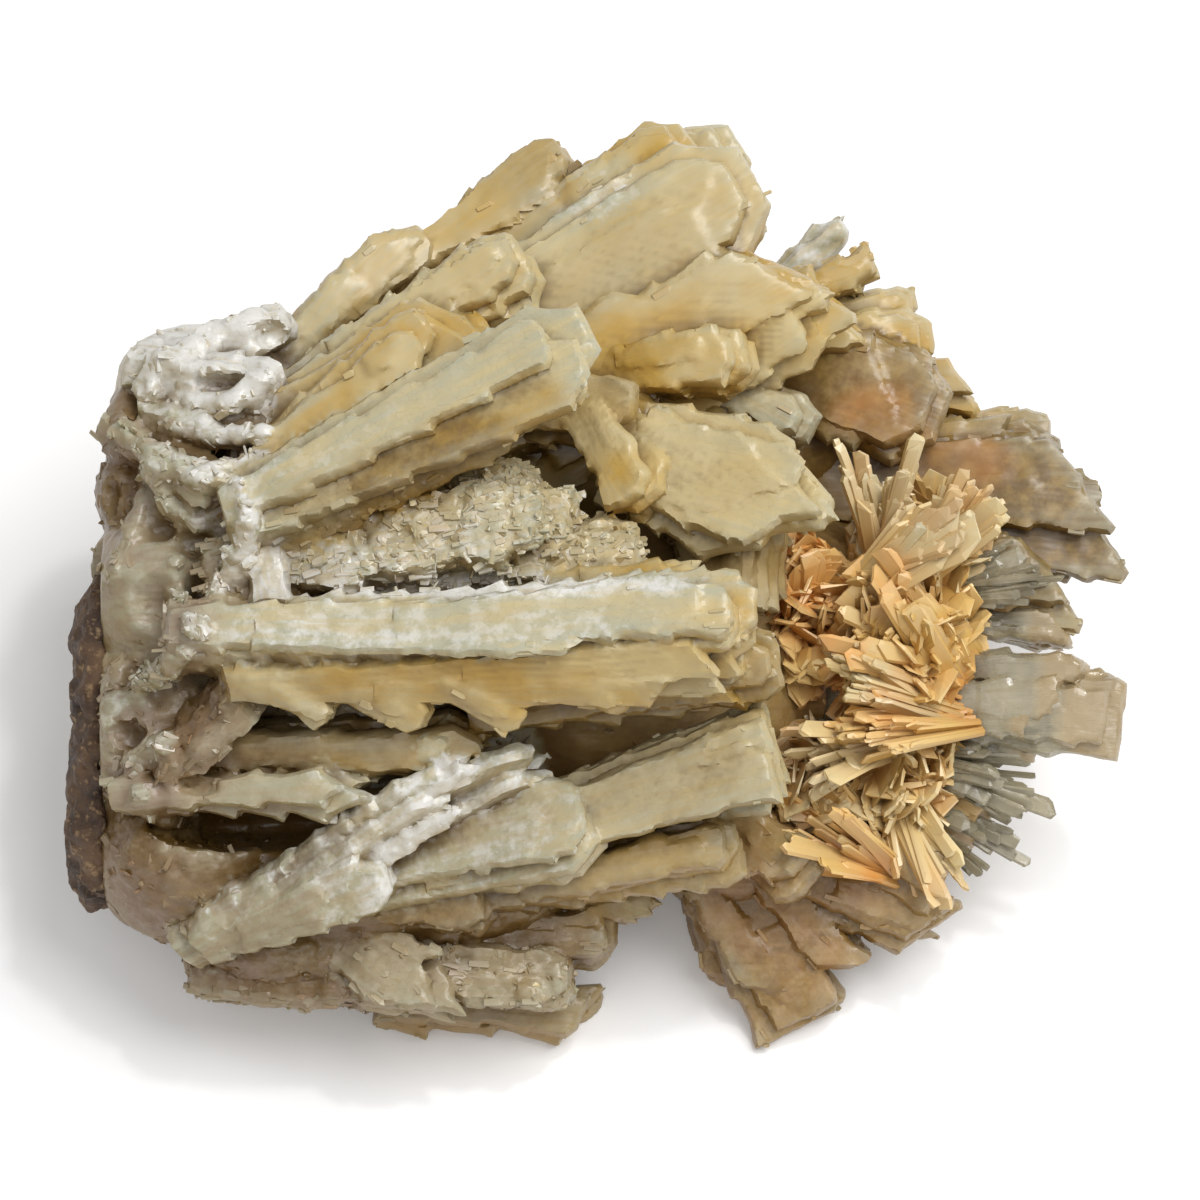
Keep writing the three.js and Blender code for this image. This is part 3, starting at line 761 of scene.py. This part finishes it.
def skin(field):
    """Corners, faces as rows of four corner numbers, and the shape that each face belongs to."""
    values, names = field
    inside = values < 0
    points, normals, faces, face_owner = [], [], [], []
    strides = np.array([SHAPE[1] * SHAPE[2], SHAPE[2], 1])
    for a in range(3):
        ahead = np.moveaxis(inside, a, 0)
        crossing = np.zeros_like(inside)
        np.moveaxis(crossing, a, 0)[:-1] = ahead[:-1] != ahead[1:]
        at = np.stack(np.nonzero(crossing), axis=1)
        beyond = at.copy()
        beyond[:, a] += 1
        v0, v1 = values[tuple(at.T)], values[tuple(beyond.T)]
        point = GRID_LOW + STEP * at
        point[:, a] += STEP * (v0 / (v0 - v1))
        name = names[tuple(np.where((np.abs(v0) < np.abs(v1))[:, None], at, beyond).T)]
        cells = np.stack([(at + np.array(step)) @ strides for step in NEIGHBOURS[a]], axis=1)
        cells[v0 > 0] = cells[v0 > 0][:, ::-1]
        faces.append(cells)
        face_owner.append(name)
        points.append(np.tile(point, (4, 1)))
        normals.append(np.tile(face_normals(point, name), (4, 1)))
    cell_ids = np.concatenate([cells.T.ravel() for cells in faces])
    points, normals = np.concatenate(points), np.concatenate(normals)
    used, where = np.unique(cell_ids, return_inverse=True)
    count = len(used)
    number = np.bincount(where, minlength=count).astype(float)
    middle = np.stack([np.bincount(where, points[:, a], count) / number for a in range(3)], axis=1)
    # Each corner moves to where the flat faces that meet in its cell cross, which keeps edges sharp.
    height = (normals * (points - middle[where])).sum(1)
    pull = np.zeros((count, 3, 3))
    goal = np.zeros((count, 3))
    for a in range(3):
        goal[:, a] = np.bincount(where, normals[:, a] * height, count)
        for b in range(3):
            pull[:, a, b] = np.bincount(where, normals[:, a] * normals[:, b], count)
        pull[:, a, a] += PULL * number
    moved = np.linalg.solve(pull, goal[:, :, None])[:, :, 0]
    length = np.linalg.norm(moved, axis=1, keepdims=True)
    moved *= np.minimum(1, FARTHEST_MOVE * STEP / np.maximum(length, 1e-9))
    corners = np.clip(middle + moved, cad_box_mm[0], cad_box_mm[1])
    return corners, np.searchsorted(used, np.concatenate(faces)), np.concatenate(face_owner)


def open_air(values):
    """Where a grid point is outside the mass and joined to the space round it."""
    free = values > 0
    found = np.zeros_like(free)
    for a in range(3):
        np.moveaxis(found, a, 0)[[0, -1]] = np.moveaxis(free, a, 0)[[0, -1]]
    before = -1
    while found.sum() != before:
        before = found.sum()
        for a in range(3):
            air, room = np.moveaxis(found, a, 0), np.moveaxis(free, a, 0)
            for i in range(1, len(air)):
                air[i] |= air[i - 1] & room[i]
            for i in range(len(air) - 2, -1, -1):
                air[i] |= air[i + 1] & room[i]
    return found


def crowding(solid, reach):
    """How much of the space near each grid point is solid."""
    solid = solid.astype(np.float32)
    radius = int(round(reach / STEP))
    window = 2 * radius + 1
    for a in range(3):
        padding = [(0, 0)] * 3
        padding[a] = (radius + 1, radius)
        total = np.moveaxis(np.cumsum(np.pad(solid, padding), axis=a), a, 0)
        solid = np.moveaxis((total[window:] - total[:-window]) / window, 0, a)
    return solid


def in_large_patch(faces, count):
    """Whether each face belongs to a patch that isn't a mere scrap."""
    patch = np.arange(count)
    while True:
        lowest = patch.copy()
        for column in range(4):
            np.minimum.at(lowest, faces[:, column], patch[faces].min(1))
        lowest = lowest[lowest]
        if (lowest == patch).all():
            break
        patch = lowest
    own = patch[faces[:, 0]]
    return np.bincount(own, minlength=count)[own] >= SCRAP


def sampled(volume, points):
    """Values of a volume at points, from the nearest grid point."""
    at = np.rint((points - GRID_LOW) / STEP).astype(int)
    at = np.clip(at, 0, np.array(SHAPE) - 1)
    return volume[tuple(at.T)]


# Some masks come from the share of the space near a point that is solid: where they begin, and how soon they
# are full. The crease and hollow masks paint shade where much of the space is solid.
FLAT_SHARE = 0.5
DEEP_SPAN = 0.28
SUNK_SPAN = 0.3
EDGE_SHARE = 0.48
EDGE_SPAN = 0.22
# Frost grows from this x towards the left, over this length, up to this much more.
FROSTED_LEFT = -22.0
FROST_REACH = 30.0
MORE_FROST = 0.35
MOST_FROST = 1.6


def masks_at(points, names):
    """The masks that the materials mix their colours by."""
    found = {}
    for column, name in enumerate(TINT_NAMES + ("rough",)):
        found[name] = tint_table(column)[names] + zone_amounts(points, name)
    found["frost"] += MORE_FROST * np.clip((FROSTED_LEFT - points[:, 0]) / FROST_REACH, 0, 1)
    for name in found:
        found[name] = np.clip(found[name], 0, MOST_FROST if name == "frost" else 1)
    near = sampled(crowd, points)
    # Painted shade, fine in creases and broad in hollows, grows with how much of the space round is solid.
    found["deep"] = np.clip((near - FLAT_SHARE) / DEEP_SPAN + zone_amounts(points, "deep"), 0, 1)
    found["sunk"] = np.clip((sampled(wide_crowd, points) - FLAT_SHARE) / SUNK_SPAN, 0, 1)
    found["edge"] = np.clip((EDGE_SHARE - near) / EDGE_SPAN, 0, 1)
    return found


SHARP_ANGLE = math.radians(34)
# A patch of fewer faces than this is a scrap.
SCRAP = 60


def new_object(name, data):
    made = bpy.data.objects.new(name, data)
    bpy.context.scene.collection.objects.link(made)
    return made


def mesh_object(name, corners, faces, smooth=True):
    """A mesh object from corners in millimetres and rows of corner numbers, one row a face."""
    mesh = bpy.data.meshes.new(name)
    mesh.vertices.add(len(corners))
    mesh.vertices.foreach_set("co", (corners * METRES).astype(np.float32).ravel())
    mesh.loops.add(faces.size)
    mesh.loops.foreach_set("vertex_index", faces.astype(np.int32).ravel())
    mesh.polygons.add(len(faces))
    mesh.polygons.foreach_set("loop_start", np.arange(0, faces.size, faces.shape[1], dtype=np.int32))
    mesh.update(calc_edges=True)
    mesh.validate()
    mesh.polygons.foreach_set("use_smooth", np.full(len(mesh.polygons), smooth))
    if smooth:
        mesh.set_sharp_from_angle(angle=SHARP_ANGLE)
    return new_object(name, mesh)


def add_layer(made, name, kind, domain, values):
    layer = made.data.attributes.new(name, kind, domain)
    key = "vector" if kind == "FLOAT_VECTOR" else "value"
    layer.data.foreach_set(key, values.astype(np.float32).ravel())


def add_masks(made, masks):
    for name, values in masks.items():
        add_layer(made, name, "FLOAT", "POINT", values)


def add_grain(made, corners, faces, face_owner):
    """Each face corner's place in its own crystal's axes, so that growth lines follow the crystal."""
    starts = np.array([o.start for o in owners] + [np.zeros(3)])
    axes = np.array([[o.along, o.across, o.out] for o in owners] + [np.eye(3)])
    lengths = np.array([getattr(o, "length", 1e3) for o in owners] + [1e3])
    owner = np.repeat(face_owner, faces.shape[1])
    local = np.einsum("nij,nj->ni", axes[owner], corners[faces.ravel()] - starts[owner])
    add_layer(made, "grain", "FLOAT_VECTOR", "CORNER", local)
    add_layer(made, "reach", "FLOAT", "CORNER", local[:, 0] / lengths[owner])


# A thin crystal: a six-sided bar whose end narrows to a short edge. Rows of corner numbers, three to a face.
# Bars keep this far inside the box's low and high corners.
MARGINS = 0.2, 0.1
BAR_CORNERS = 14
RING = ((-1, 0), (-0.72, -1), (0.72, -1), (1, 0), (0.72, 1), (-0.72, 1))
BAR_FACES = np.array(
    [(a, (a + 1) % 6, (a + 1) % 6 + 6) for a in range(6)] + [(a, (a + 1) % 6 + 6, a + 6) for a in range(6)]
    + [(0, 2, 1), (0, 3, 2), (0, 4, 3), (0, 5, 4)]
    + [(7, 8, 12), (10, 11, 13), (8, 9, 12), (9, 13, 12), (9, 10, 13), (11, 6, 13), (6, 12, 13), (6, 7, 12)])


class Bars:
    """Thin crystals gathered into one mesh of flat facets."""

    def __init__(self):
        self.corners, self.local, self.masks = [], [], []

    def add(self, start, along, out, length, wide, thick, taper, root_masks, tip_masks, rng):
        """One bar. Its masks run from those of its root to those of its tip."""
        out = unit(out - along * (out @ along))
        half, lift = wide / 2, thick / 2
        peak = half * rng.uniform(-0.7, 0.7)
        shoulders = [
            length - wide * rng.uniform(0.25, 0.6) - 0.4 * (side * half - peak) * rng.choice((-1, 1))
            for side, _ in RING]
        local = [(0, side * half * taper, rise * lift) for side, rise in RING]
        local += [(back, side * half, rise * lift) for back, (side, rise) in zip(shoulders, RING)]
        local = np.array(local + [(length, peak, -0.6 * lift), (length, peak, 0.6 * lift)])
        corners = start + local @ np.array([along, np.cross(out, along), out])
        low, high = cad_box_mm
        if (corners < low + MARGINS[0]).any() or (corners > high - MARGINS[1]).any():
            return
        share = (local[:, 0] / length)[:, None] ** 1.5
        self.corners.append(corners)
        self.local.append(local)
        self.masks.append(root_masks * (1 - share) + tip_masks * share)

    def object(self, name):
        firsts = BAR_CORNERS * np.arange(len(self.corners))
        faces = (BAR_FACES[None] + firsts[:, None, None]).reshape(-1, 3)
        made = mesh_object(name, np.concatenate(self.corners), faces, smooth=False)
        add_masks(made, dict(zip(BAR_MASKS, np.clip(np.concatenate(self.masks), 0, 1).T)))
        add_layer(made, "grain", "FLOAT_VECTOR", "CORNER", np.concatenate(self.local)[faces.ravel()])
        return made


BAR_MASKS = TINT_NAMES + ("rough", "deep", "sunk", "edge")
UNCHANGED = (0.0,) * 4
# What the root of a thin blade adds to its tint, and what its tip adds, in the order of the masks. The root's
# crease and hollow amounts paint shade where it is crowded in among the other blades.
AT_ROOT = np.array([0.1, -0.3, 0.3, 0.05, -0.2, 0.0, 0.35, 0.1, 0.0])
AT_TIP = np.array([-0.1, 0.1, -0.15, -0.1, 0.0, 0.0, 0.0, 0.0, 0.4])


def bundle(bars, root, tip, wide, roll, tint, strips, rng):
    """A blade made of thin bars side by side, each ending where it likes."""
    length, along = straight(root, tip)
    out = facing_eye(along, roll)
    across = np.cross(out, along)
    own = np.array(TINTS[tint] + (0.0,) * 3) + np.append(rng.normal(0, 0.1, 5), UNCHANGED)
    for place_in in np.linspace(-1, 1, strips):
        side = place_in * wide * 0.4
        strip_wide = wide / strips * rng.uniform(1.2, 2.6)
        strip_length = length * (1 - 0.18 * place_in ** 2) * rng.uniform(0.82, 1.0)
        way = turned(along, out, -0.10 * place_in + rng.normal(0, 0.02))
        lift = rng.normal(0, 0.28)
        thick = rng.uniform(0.45, 0.95)
        bars.add(root + across * side * 0.6 + out * lift, way, turned(out, along, rng.normal(0, 0.1)),
                 strip_length, strip_wide, thick, 0.7, own + AT_ROOT, own + AT_TIP, rng)


def add_sprays(opaque, clear, rng):
    for row in SPRAYS:
        number, spread, wide, roll, tint = row[6:]
        root = place(row[:3])
        reach, along = straight(root, place(row[3:6]))
        for turn in np.linspace(-1, 1, int(number)):
            angle = math.radians(spread) * (turn + rng.normal(0, 0.12))
            way = turned(along, TO_EYE, angle)
            way = turned(way, unit(np.cross(way, TO_EYE)), math.radians(rng.uniform(-22, 8)))
            length = reach * rng.uniform(0.7, 1.02)
            here = root + rng.normal(0, 0.8, 3)
            bundle(clear if tint == "glass" else opaque, here, here + way * length,
                   wide * rng.uniform(0.6, 1.1), math.radians(roll + rng.normal(0, 16)) * rng.choice((-1, 1)),
                   tint, rng.integers(3, 7), rng)


def add_rosettes(bars, rng):
    axes = np.array([(1, 0, 0), UP, TO_EYE])
    for *numbers, tint in ROSETTES:
        middle, size = place(numbers[:3]), np.array(numbers[3:6])
        for _ in range(int(numbers[6])):
            way = rng.normal(0, 1, 3)
            way[2] = abs(way[2])
            way = unit(way)
            tip = middle + (way * size * rng.uniform(0.85, 1.1)) @ axes
            root = middle + (way * size * 0.35) @ axes + rng.normal(0, 1.5, 3)
            bundle(bars, root, tip, rng.uniform(4.0, 8.0), rng.uniform(0, math.pi), tint,
                   rng.integers(2, 5), rng)


def face_middles(corners, faces):
    """The middle, outward direction and area of each four-sided face."""
    quad = corners[faces]
    cross = np.cross(quad[:, 2] - quad[:, 0], quad[:, 3] - quad[:, 1])
    size = np.linalg.norm(cross, axis=1) + 1e-9
    return quad.mean(1), cross / size[:, None], size / 2


# The least and most length, width and share sunk in of the small crystals: grains of a crust, and others.
CRUST_SIZES = (0.8, 1.9), (0.5, 1.2), (0.25, 0.45)
CHIP_SIZES = (1.0, 2.8), (0.5, 1.3), (0.1, 0.3)
# They grow where a point so far above the face is so far from the mass, on rough faces and a few on edges.
AIR_ABOVE = 1.5
LEAST_AIR = 0.3
LEAST_ROUGH = 0.22
EDGE_CHANCE = 0.02


def sow(bars, corners, faces, face_owner, number, rng):
    """Small crystals on a skin, laid the way of the crystal they grow on."""
    middle, normal, area = face_middles(corners, faces)
    masks = masks_at(middle, face_owner)
    rough = masks["rough"]
    in_air = sampled(whole, middle + normal * AIR_ABOVE) > LEAST_AIR
    chance = area * in_air * (np.maximum(rough - LEAST_ROUGH, 0) ** 2 + EDGE_CHANCE * masks["edge"])
    chosen = rng.choice(len(middle), number, replace=False, p=chance / chance.sum())
    values = np.stack([masks[name] for name in BAR_MASKS], axis=1)
    for face in chosen:
        owner, n = owners[face_owner[face]], normal[face]
        crust = rng.random() < rough[face] - 0.3
        if isinstance(owner, Crystal) and not crust:
            along = turned(owner.along, owner.out, rng.normal(0, 0.12))
            out = turned(owner.out, owner.along, rng.normal(0, 0.15))
        else:
            along = unit(np.cross(n, rng.normal(0, 1, 3)) + n * rng.uniform(0, 0.9))
            out = n + rng.normal(0, 0.4, 3)
        lengths, widths, depths = CRUST_SIZES if crust else CHIP_SIZES
        length, wide = rng.uniform(*lengths), rng.uniform(*widths)
        thick = wide * rng.uniform(0.3, 0.6)
        sunk_in = rng.uniform(*depths)
        start = middle[face] - along * length * rng.uniform(0.45, 0.8) - n * thick * sunk_in
        own = values[face] + np.append(rng.normal(0, 0.07, 5), (0, 0, 0, 0.1))
        bars.add(start, along, out, length, wide, thick, 0.8, own, own, rng)


def srgb(*levels):
    """A colour as a picture editor gives it, 0 to 255, as the renderer wants it."""
    shares = [level / 255 for level in levels]
    return (*(c / 12.92 if c <= 0.04045 else ((c + 0.055) / 1.055) ** 2.4 for c in shares), 1)


class Nodes:
    """A short way to write node trees."""

    def __init__(self, name):
        self.material = bpy.data.materials.new(name)
        self.material.use_nodes = True
        self.tree = self.material.node_tree
        self.tree.nodes.clear()
        self.output = self.tree.nodes.new("ShaderNodeOutputMaterial")

    def add(self, kind, inputs=None, **settings):
        node = self.tree.nodes.new("ShaderNode" + kind)
        for key, value in settings.items():
            setattr(node, key, value)
        for key, value in (inputs or {}).items():
            if isinstance(value, bpy.types.NodeSocket):
                self.tree.links.new(value, node.inputs[key])
            else:
                node.inputs[key].default_value = value
        return node

    def attribute(self, name, output="Fac"):
        return self.add("Attribute", attribute_name=name).outputs[output]

    def place(self):
        return self.add("TexCoord").outputs["Object"]

    def grain(self):
        """The place in the crystal's own axes, in metres."""
        return self.scaled(self.attribute("grain", "Vector"), (METRES,) * 3)

    def math(self, operation, a, b, clamp=False):
        return self.add("Math", {0: a, 1: b}, operation=operation, use_clamp=clamp).outputs[0]

    def times(self, a, b, clamp=False):
        return self.math("MULTIPLY", a, b, clamp)

    def vector_math(self, operation, a, b, output="Vector"):
        return self.add("VectorMath", {0: a, 1: b}, operation=operation).outputs[output]

    def scaled(self, vector, factors):
        return self.vector_math("MULTIPLY", vector, factors)

    def remap(self, value, low, high, out_low=0.0, out_high=1.0):
        return self.add("MapRange", {0: value, 1: low, 2: high, 3: out_low, 4: out_high}).outputs[0]

    def mix(self, amount, a, b, blend="MIX"):
        return self.add("Mix", {0: amount, 6: a, 7: b}, data_type="RGBA", blend_type=blend).outputs[2]

    def noise(self, vector, size, detail=3.0, roughness=0.55):
        """Noise whose lumps are about `size` metres across."""
        return self.add("TexNoise", {"Vector": vector, "Scale": 1 / size, "Detail": detail,
                                     "Roughness": roughness}).outputs[0]

    def bump(self, height, strength, distance, under=None):
        inputs = {"Strength": strength, "Distance": distance, "Height": height}
        return self.add("Bump", inputs | ({"Normal": under} if under else {})).outputs[0]

    def surface(self, inputs):
        """Ends the tree with a shader, and gives the material."""
        shader = self.add("BsdfPrincipled", inputs)
        self.tree.links.new(shader.outputs[0], self.output.inputs["Surface"])
        return self.material


PALE = srgb(198, 180, 132)
HONEY = srgb(186, 150, 68)
FROST = srgb(212, 210, 203)
FROST_SHADE = srgb(170, 167, 143)
STAIN = srgb(186, 126, 56)
DARK = srgb(110, 86, 44)
MAUVE = srgb(150, 128, 112)
# The colour that creases and hollows are painted with as shade.
CREVICE_SHADE = srgb(92, 68, 28)
# Faces turned from the window are painted darker and yellower, as painted shade for light that has come through
# the crystal.
TO_LIGHT = (0.44, 0.15, 0.88)
LEE_SHADE = srgb(214, 192, 142)
BARITE_IOR = 1.64


def facet_height(nodes, where, size):
    """Height of a mosaic of small flat facets, each tilted its own way."""
    cells = nodes.add("TexVoronoi", {"Vector": where, "Scale": 1 / size, "Randomness": 1.0}).outputs
    tilt = nodes.vector_math("SUBTRACT", cells["Color"], (0.5, 0.5, 0.5))
    here, centre = (nodes.scaled(vector, (1 / size,) * 3) for vector in (where, cells["Position"]))
    return nodes.vector_math("DOT_PRODUCT", tilt, nodes.vector_math("SUBTRACT", here, centre), "Value")


def barite_material(name, faceted, painted_glow):
    """Milky barite. Thin blades glow with the light behind them, which is painted in by brightening their
    colour.
    """
    nodes = Nodes(name)
    times, remap, mix, noise = nodes.times, nodes.remap, nodes.mix, nodes.noise
    where = nodes.place()
    honey, frost, stain, dark, mauve, rough, deep, sunk, edge = (nodes.attribute(n) for n in BAR_MASKS)
    cloud = noise(where, 0.012, 2.0)
    mottle = noise(where, 0.0022, 3.0, 0.65)
    streak = noise(nodes.scaled(nodes.grain(), (0.12, 1.0, 1.0)), 0.0012, 1.5, 0.6)
    base = mix(times(honey, remap(cloud, 0.34, 0.58, 0.1, 1.15), True), PALE, HONEY)
    base = mix(times(mauve, remap(cloud, 0.36, 0.6, 1.1, 0.6), True), base, MAUVE)
    base = mix(times(dark, remap(mottle, 0.3, 0.65, 0.6, 1.1), True), base, DARK)
    # Snow is frost beyond the usual, and has no mottles.
    snow = nodes.math("ADD", remap(mottle, 0.36, 0.6), times(nodes.math("SUBTRACT", frost, 0.9), 2.0), True)
    whiten = nodes.math("ADD", frost, times(edge, 0.4))
    whiten = times(whiten, remap(streak, 0.36, 0.6, 0.45, 1.1), True)
    base = mix(whiten, base, mix(snow, FROST_SHADE, FROST))
    base = mix(times(stain, remap(cloud, 0.34, 0.6, 1.2, 0.2), True), base, STAIN)
    # Painted shade: creases and hollows darken towards the shade colour.
    base = mix(nodes.math("MAXIMUM", times(deep, 0.9), times(sunk, 0.7)), base, CREVICE_SHADE)
    # Painted shade on the faces turned from the window.
    normal = nodes.add("NewGeometry").outputs["Normal"]
    facing = nodes.vector_math("DOT_PRODUCT", normal, TO_LIGHT, "Value")
    base = mix(remap(facing, 0.62, -0.1, 0.0, 0.8), base, LEE_SHADE, "MULTIPLY")
    # Painted glow: the colour is brightened by the given share.
    base = mix(1.0, base, (painted_glow,) * 3 + (1,), "MULTIPLY")
    height = times(streak, 0.15)
    if faceted:
        crusty = remap(nodes.math("ADD", rough, times(frost, 0.35)), 0.1, 0.9, 0.03, 0.22)
        height = nodes.math("ADD", height, times(facet_height(nodes, where, 0.001), crusty))
    return nodes.surface({
        "Base Color": base, "Roughness": remap(rough, 0.1, 0.9, 0.36, 0.33),
        "Normal": nodes.bump(height, 1.0, 0.001), "IOR": BARITE_IOR, "Specular IOR Level": 0.42})


def clear_material():
    nodes = Nodes("clear_barite")
    times, remap, mix, noise = nodes.times, nodes.remap, nodes.mix, nodes.noise
    where, grain = nodes.place(), nodes.grain()
    streak = noise(nodes.scaled(grain, (0.12, 1.0, 1.0)), 0.0014, 4.0, 0.6)
    # Nested squares, as the faces of such blades show where they grew layer on layer.
    squares = nodes.add("TexVoronoi", {"Vector": nodes.scaled(grain, (0.7, 1.0, 0.0)), "Scale": 190.0},
                        distance="CHEBYCHEV").outputs["Distance"]
    layers = nodes.add("Math", {0: nodes.math("ADD", times(squares, 4.5), noise(where, 0.003, 2.0))},
                       operation="FRACT").outputs[0]
    normal = nodes.bump(layers, 0.5, 0.00035, nodes.bump(streak, 0.4, 0.0004))
    # The cap is the milky end of a blade.
    cap = remap(nodes.attribute("reach"), 0.8, 0.86)
    base = mix(noise(where, 0.006), srgb(200, 192, 166), srgb(168, 156, 124))
    base = mix(remap(layers, 0.0, 0.16, 0.3, 0.0), base, srgb(226, 218, 200))
    base = mix(times(cap, 0.6), base, srgb(170, 140, 92))
    clarity = remap(noise(where, 0.008), 0.35, 0.65, 0.3, 0.75)
    clarity = times(clarity, remap(cap, 0.0, 1.0, 1.0, 0.4))
    absorb = nodes.add("VolumeAbsorption", {"Color": srgb(206, 194, 152), "Density": 110.0})
    nodes.tree.links.new(absorb.outputs[0], nodes.output.inputs["Volume"])
    return nodes.surface({
        "Base Color": base, "Roughness": remap(streak, 0.3, 0.7, 0.12, 0.4), "Normal": normal,
        "IOR": BARITE_IOR, "Transmission Weight": clarity})


def rock_material():
    nodes = Nodes("host_rock")
    where = nodes.place()
    broad = nodes.noise(where, 0.006, 5.0, 0.65)
    fine = nodes.noise(where, 0.0012, 4.0, 0.6)
    base = nodes.mix(nodes.remap(broad, 0.35, 0.65), srgb(52, 38, 30), srgb(104, 78, 54))
    base = nodes.mix(nodes.remap(fine, 0.55, 0.7), base, srgb(150, 124, 92))
    normal = nodes.bump(facet_height(nodes, where, 0.0014), 0.7, 0.0005, nodes.bump(fine, 0.8, 0.0006))
    return nodes.surface({
        "Base Color": base, "Roughness": nodes.remap(fine, 0.3, 0.7, 0.55, 0.9), "Normal": normal})


def finish_piece(made, material, node="crystal_cluster"):
    made.data.materials.append(material)
    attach(made, "root")
    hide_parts(node)


above_floor = -LINES[2].reshape(1, 1, -1)
heart = heart_field()
crest = crystal_field(CREST, 1)
middle = crystal_field(MIDDLE, 2)
right = crystal_field(RIGHT, 3)
clear_field = crystal_field(CLEAR, 7)
lower = crystal_field(LOWER, 4)
left = crystal_field(LEFT, 5)
far_side = crystal_field(FAR_SIDE, 6)
# The groups join into one mass, whose skin is then shared out among them.
whole, whole_names = heart[0].copy(), heart[1].copy()
nearest = heart[0].copy()
for values, names in (crest, middle, right, lower, left, far_side):
    whole = joined(whole, values, SMOOTH)
    closer = values < nearest
    whole_names[closer] = names[closer]
    np.minimum(nearest, values, out=nearest)
add_bowls((whole, whole_names))
add_ridges((whole, whole_names))
roughen((whole, whole_names))
beside_rock = (LINES[1] < ROCK_BACK_Y).reshape(1, -1, 1)
rock_side = (ROCK_FACE_X + ROCK_GAP - LINES[0]).reshape(-1, 1, 1)
whole = np.where(beside_rock, np.maximum(whole, rock_side), whole)
whole = np.maximum(whole, above_floor).astype(np.float32)
crowd = crowding(whole < 0, 3.0)
wide_crowd = crowding(whole < 0, 8.0)
# Faces further than this from open air are hidden, and left out.
VISIBLE_WITHIN = 1.2
near_air = crowding(open_air(whole), VISIBLE_WITHIN) > 0.01
barite = barite_material("barite", False, 1.0)
grainy_barite = barite_material("grainy_barite", True, 1.0)
clear_barite = clear_material()
# The pieces: name, field, material and how many small crystals grow on it.
PIECES = (
    ("crest_blades", crest, barite, 50),
    ("middle_blades", middle, grainy_barite, 1700),
    ("right_plates", right, barite, 60),
    ("lower_blades", lower, grainy_barite, 500),
    ("far_side_blades", far_side, barite, 300),
    ("left_crust", left, grainy_barite, 120),
    ("heart", heart, grainy_barite, 1000),
)
small = Bars()
for number, (name, (values, _), material, sown) in enumerate(PIECES):
    # A group's piece is the whole's skin where the group is outermost, and dives under the others beyond.
    corners, faces, face_owner = skin((whole + (values - nearest), whole_names))
    seen = sampled(near_air, corners[faces].mean(1))
    faces, face_owner = faces[seen], face_owner[seen]
    large = in_large_patch(faces, len(corners))
    faces, face_owner = faces[large], face_owner[large]
    used, faces = np.unique(faces, return_inverse=True)
    corners, faces = corners[used], faces.reshape(-1, 4)
    made = mesh_object(name, corners, faces)
    add_masks(made, masks_at(corners, sampled(whole_names, corners)))
    add_grain(made, corners, faces, face_owner)
    finish_piece(made, material)
    sow(small, corners, faces, face_owner, sown, np.random.default_rng(50 + number))

roughen(clear_field)
corners, faces, face_owner = skin(clear_field)
clear = mesh_object("clear_blades", corners, faces)
add_grain(clear, corners, faces, face_owner)
finish_piece(clear, clear_barite)
finish_piece(small.object("small_crystals"), barite)
fans, needles = Bars(), Bars()
fan_rng = np.random.default_rng(77)
add_sprays(fans, needles, fan_rng)
add_rosettes(fans, fan_rng)
finish_piece(fans.object("orange_fans"), barite_material("fan_barite", False, 1.5))
finish_piece(needles.object("clear_sprays"), clear_barite)

field = rock_field()
roughen(field)
np.maximum(field[0], above_floor, out=field[0])
rock = mesh_object("rock_rind", *skin(field)[:2])
finish_piece(rock, rock_material(), "host_rock")

# The table.
FLOOR_HALF = 3.0
floor_mesh = bpy.data.meshes.new("table_top")
floor_corners = [(x * FLOOR_HALF, y * FLOOR_HALF, 0) for x, y in ((-1, -1), (1, -1), (1, 1), (-1, 1))]
floor_mesh.from_pydata(floor_corners, [], [(0, 1, 2, 3)])
floor_mesh.materials.append(Nodes("white_table").surface({
    "Base Color": (0.92, 0.92, 0.92, 1), "Roughness": 0.9, "Emission Color": (1, 1, 1, 1),
    "Emission Strength": 0.1}))
new_object("table_top", floor_mesh)

# The camera looks down on the specimen, square to the picture plane.
SENSOR_MM = 36
camera_data = bpy.data.cameras.new("camera")
camera_data.sensor_width = SENSOR_MM
camera_data.lens = SENSOR_MM * EYE_DISTANCE / PICTURE_WIDTH
camera = new_object("camera", camera_data)
camera.matrix_world = Matrix.Translation(Vector((MIDDLE_POINT + TO_EYE * EYE_DISTANCE) * METRES)) @ Matrix((
    (1, 0, 0), (0, UP[1], UP[2]), (0, TO_EYE[1], TO_EYE[2]))).transposed().to_4x4()
bpy.context.scene.camera = camera


def area_light(name, at, size, power):
    """A round lamp that shines on the middle, at offsets from it in mm: right, up and towards the eye."""
    light = bpy.data.lights.new(name, "AREA")
    light.shape = "DISK"
    light.size = size
    light.energy = power
    made = new_object(name, light)
    right, up, towards_eye = at
    here = MIDDLE_POINT + np.array([right, 0, 0]) + UP * up + TO_EYE * towards_eye
    made.location = here = Vector(here * METRES)
    aim = Vector(MIDDLE_POINT * METRES) - here
    made.rotation_euler = aim.to_track_quat("-Z", "Y").to_euler()


area_light("window", (380, 410, 680), 0.7, 5.9)
area_light("glint_lamp", (180, 480, 600), 0.06, 0.9)
area_light("front_fill", (-120, -60, 800), 0.7, 1.1)
world = bpy.data.worlds.new("room")
world.use_nodes = True
background = world.node_tree.nodes["Background"]
background.inputs["Color"].default_value = (1, 1, 1, 1)
background.inputs["Strength"].default_value = 0.44
bpy.context.scene.world = world
bpy.context.scene.view_settings.view_transform = "Standard"
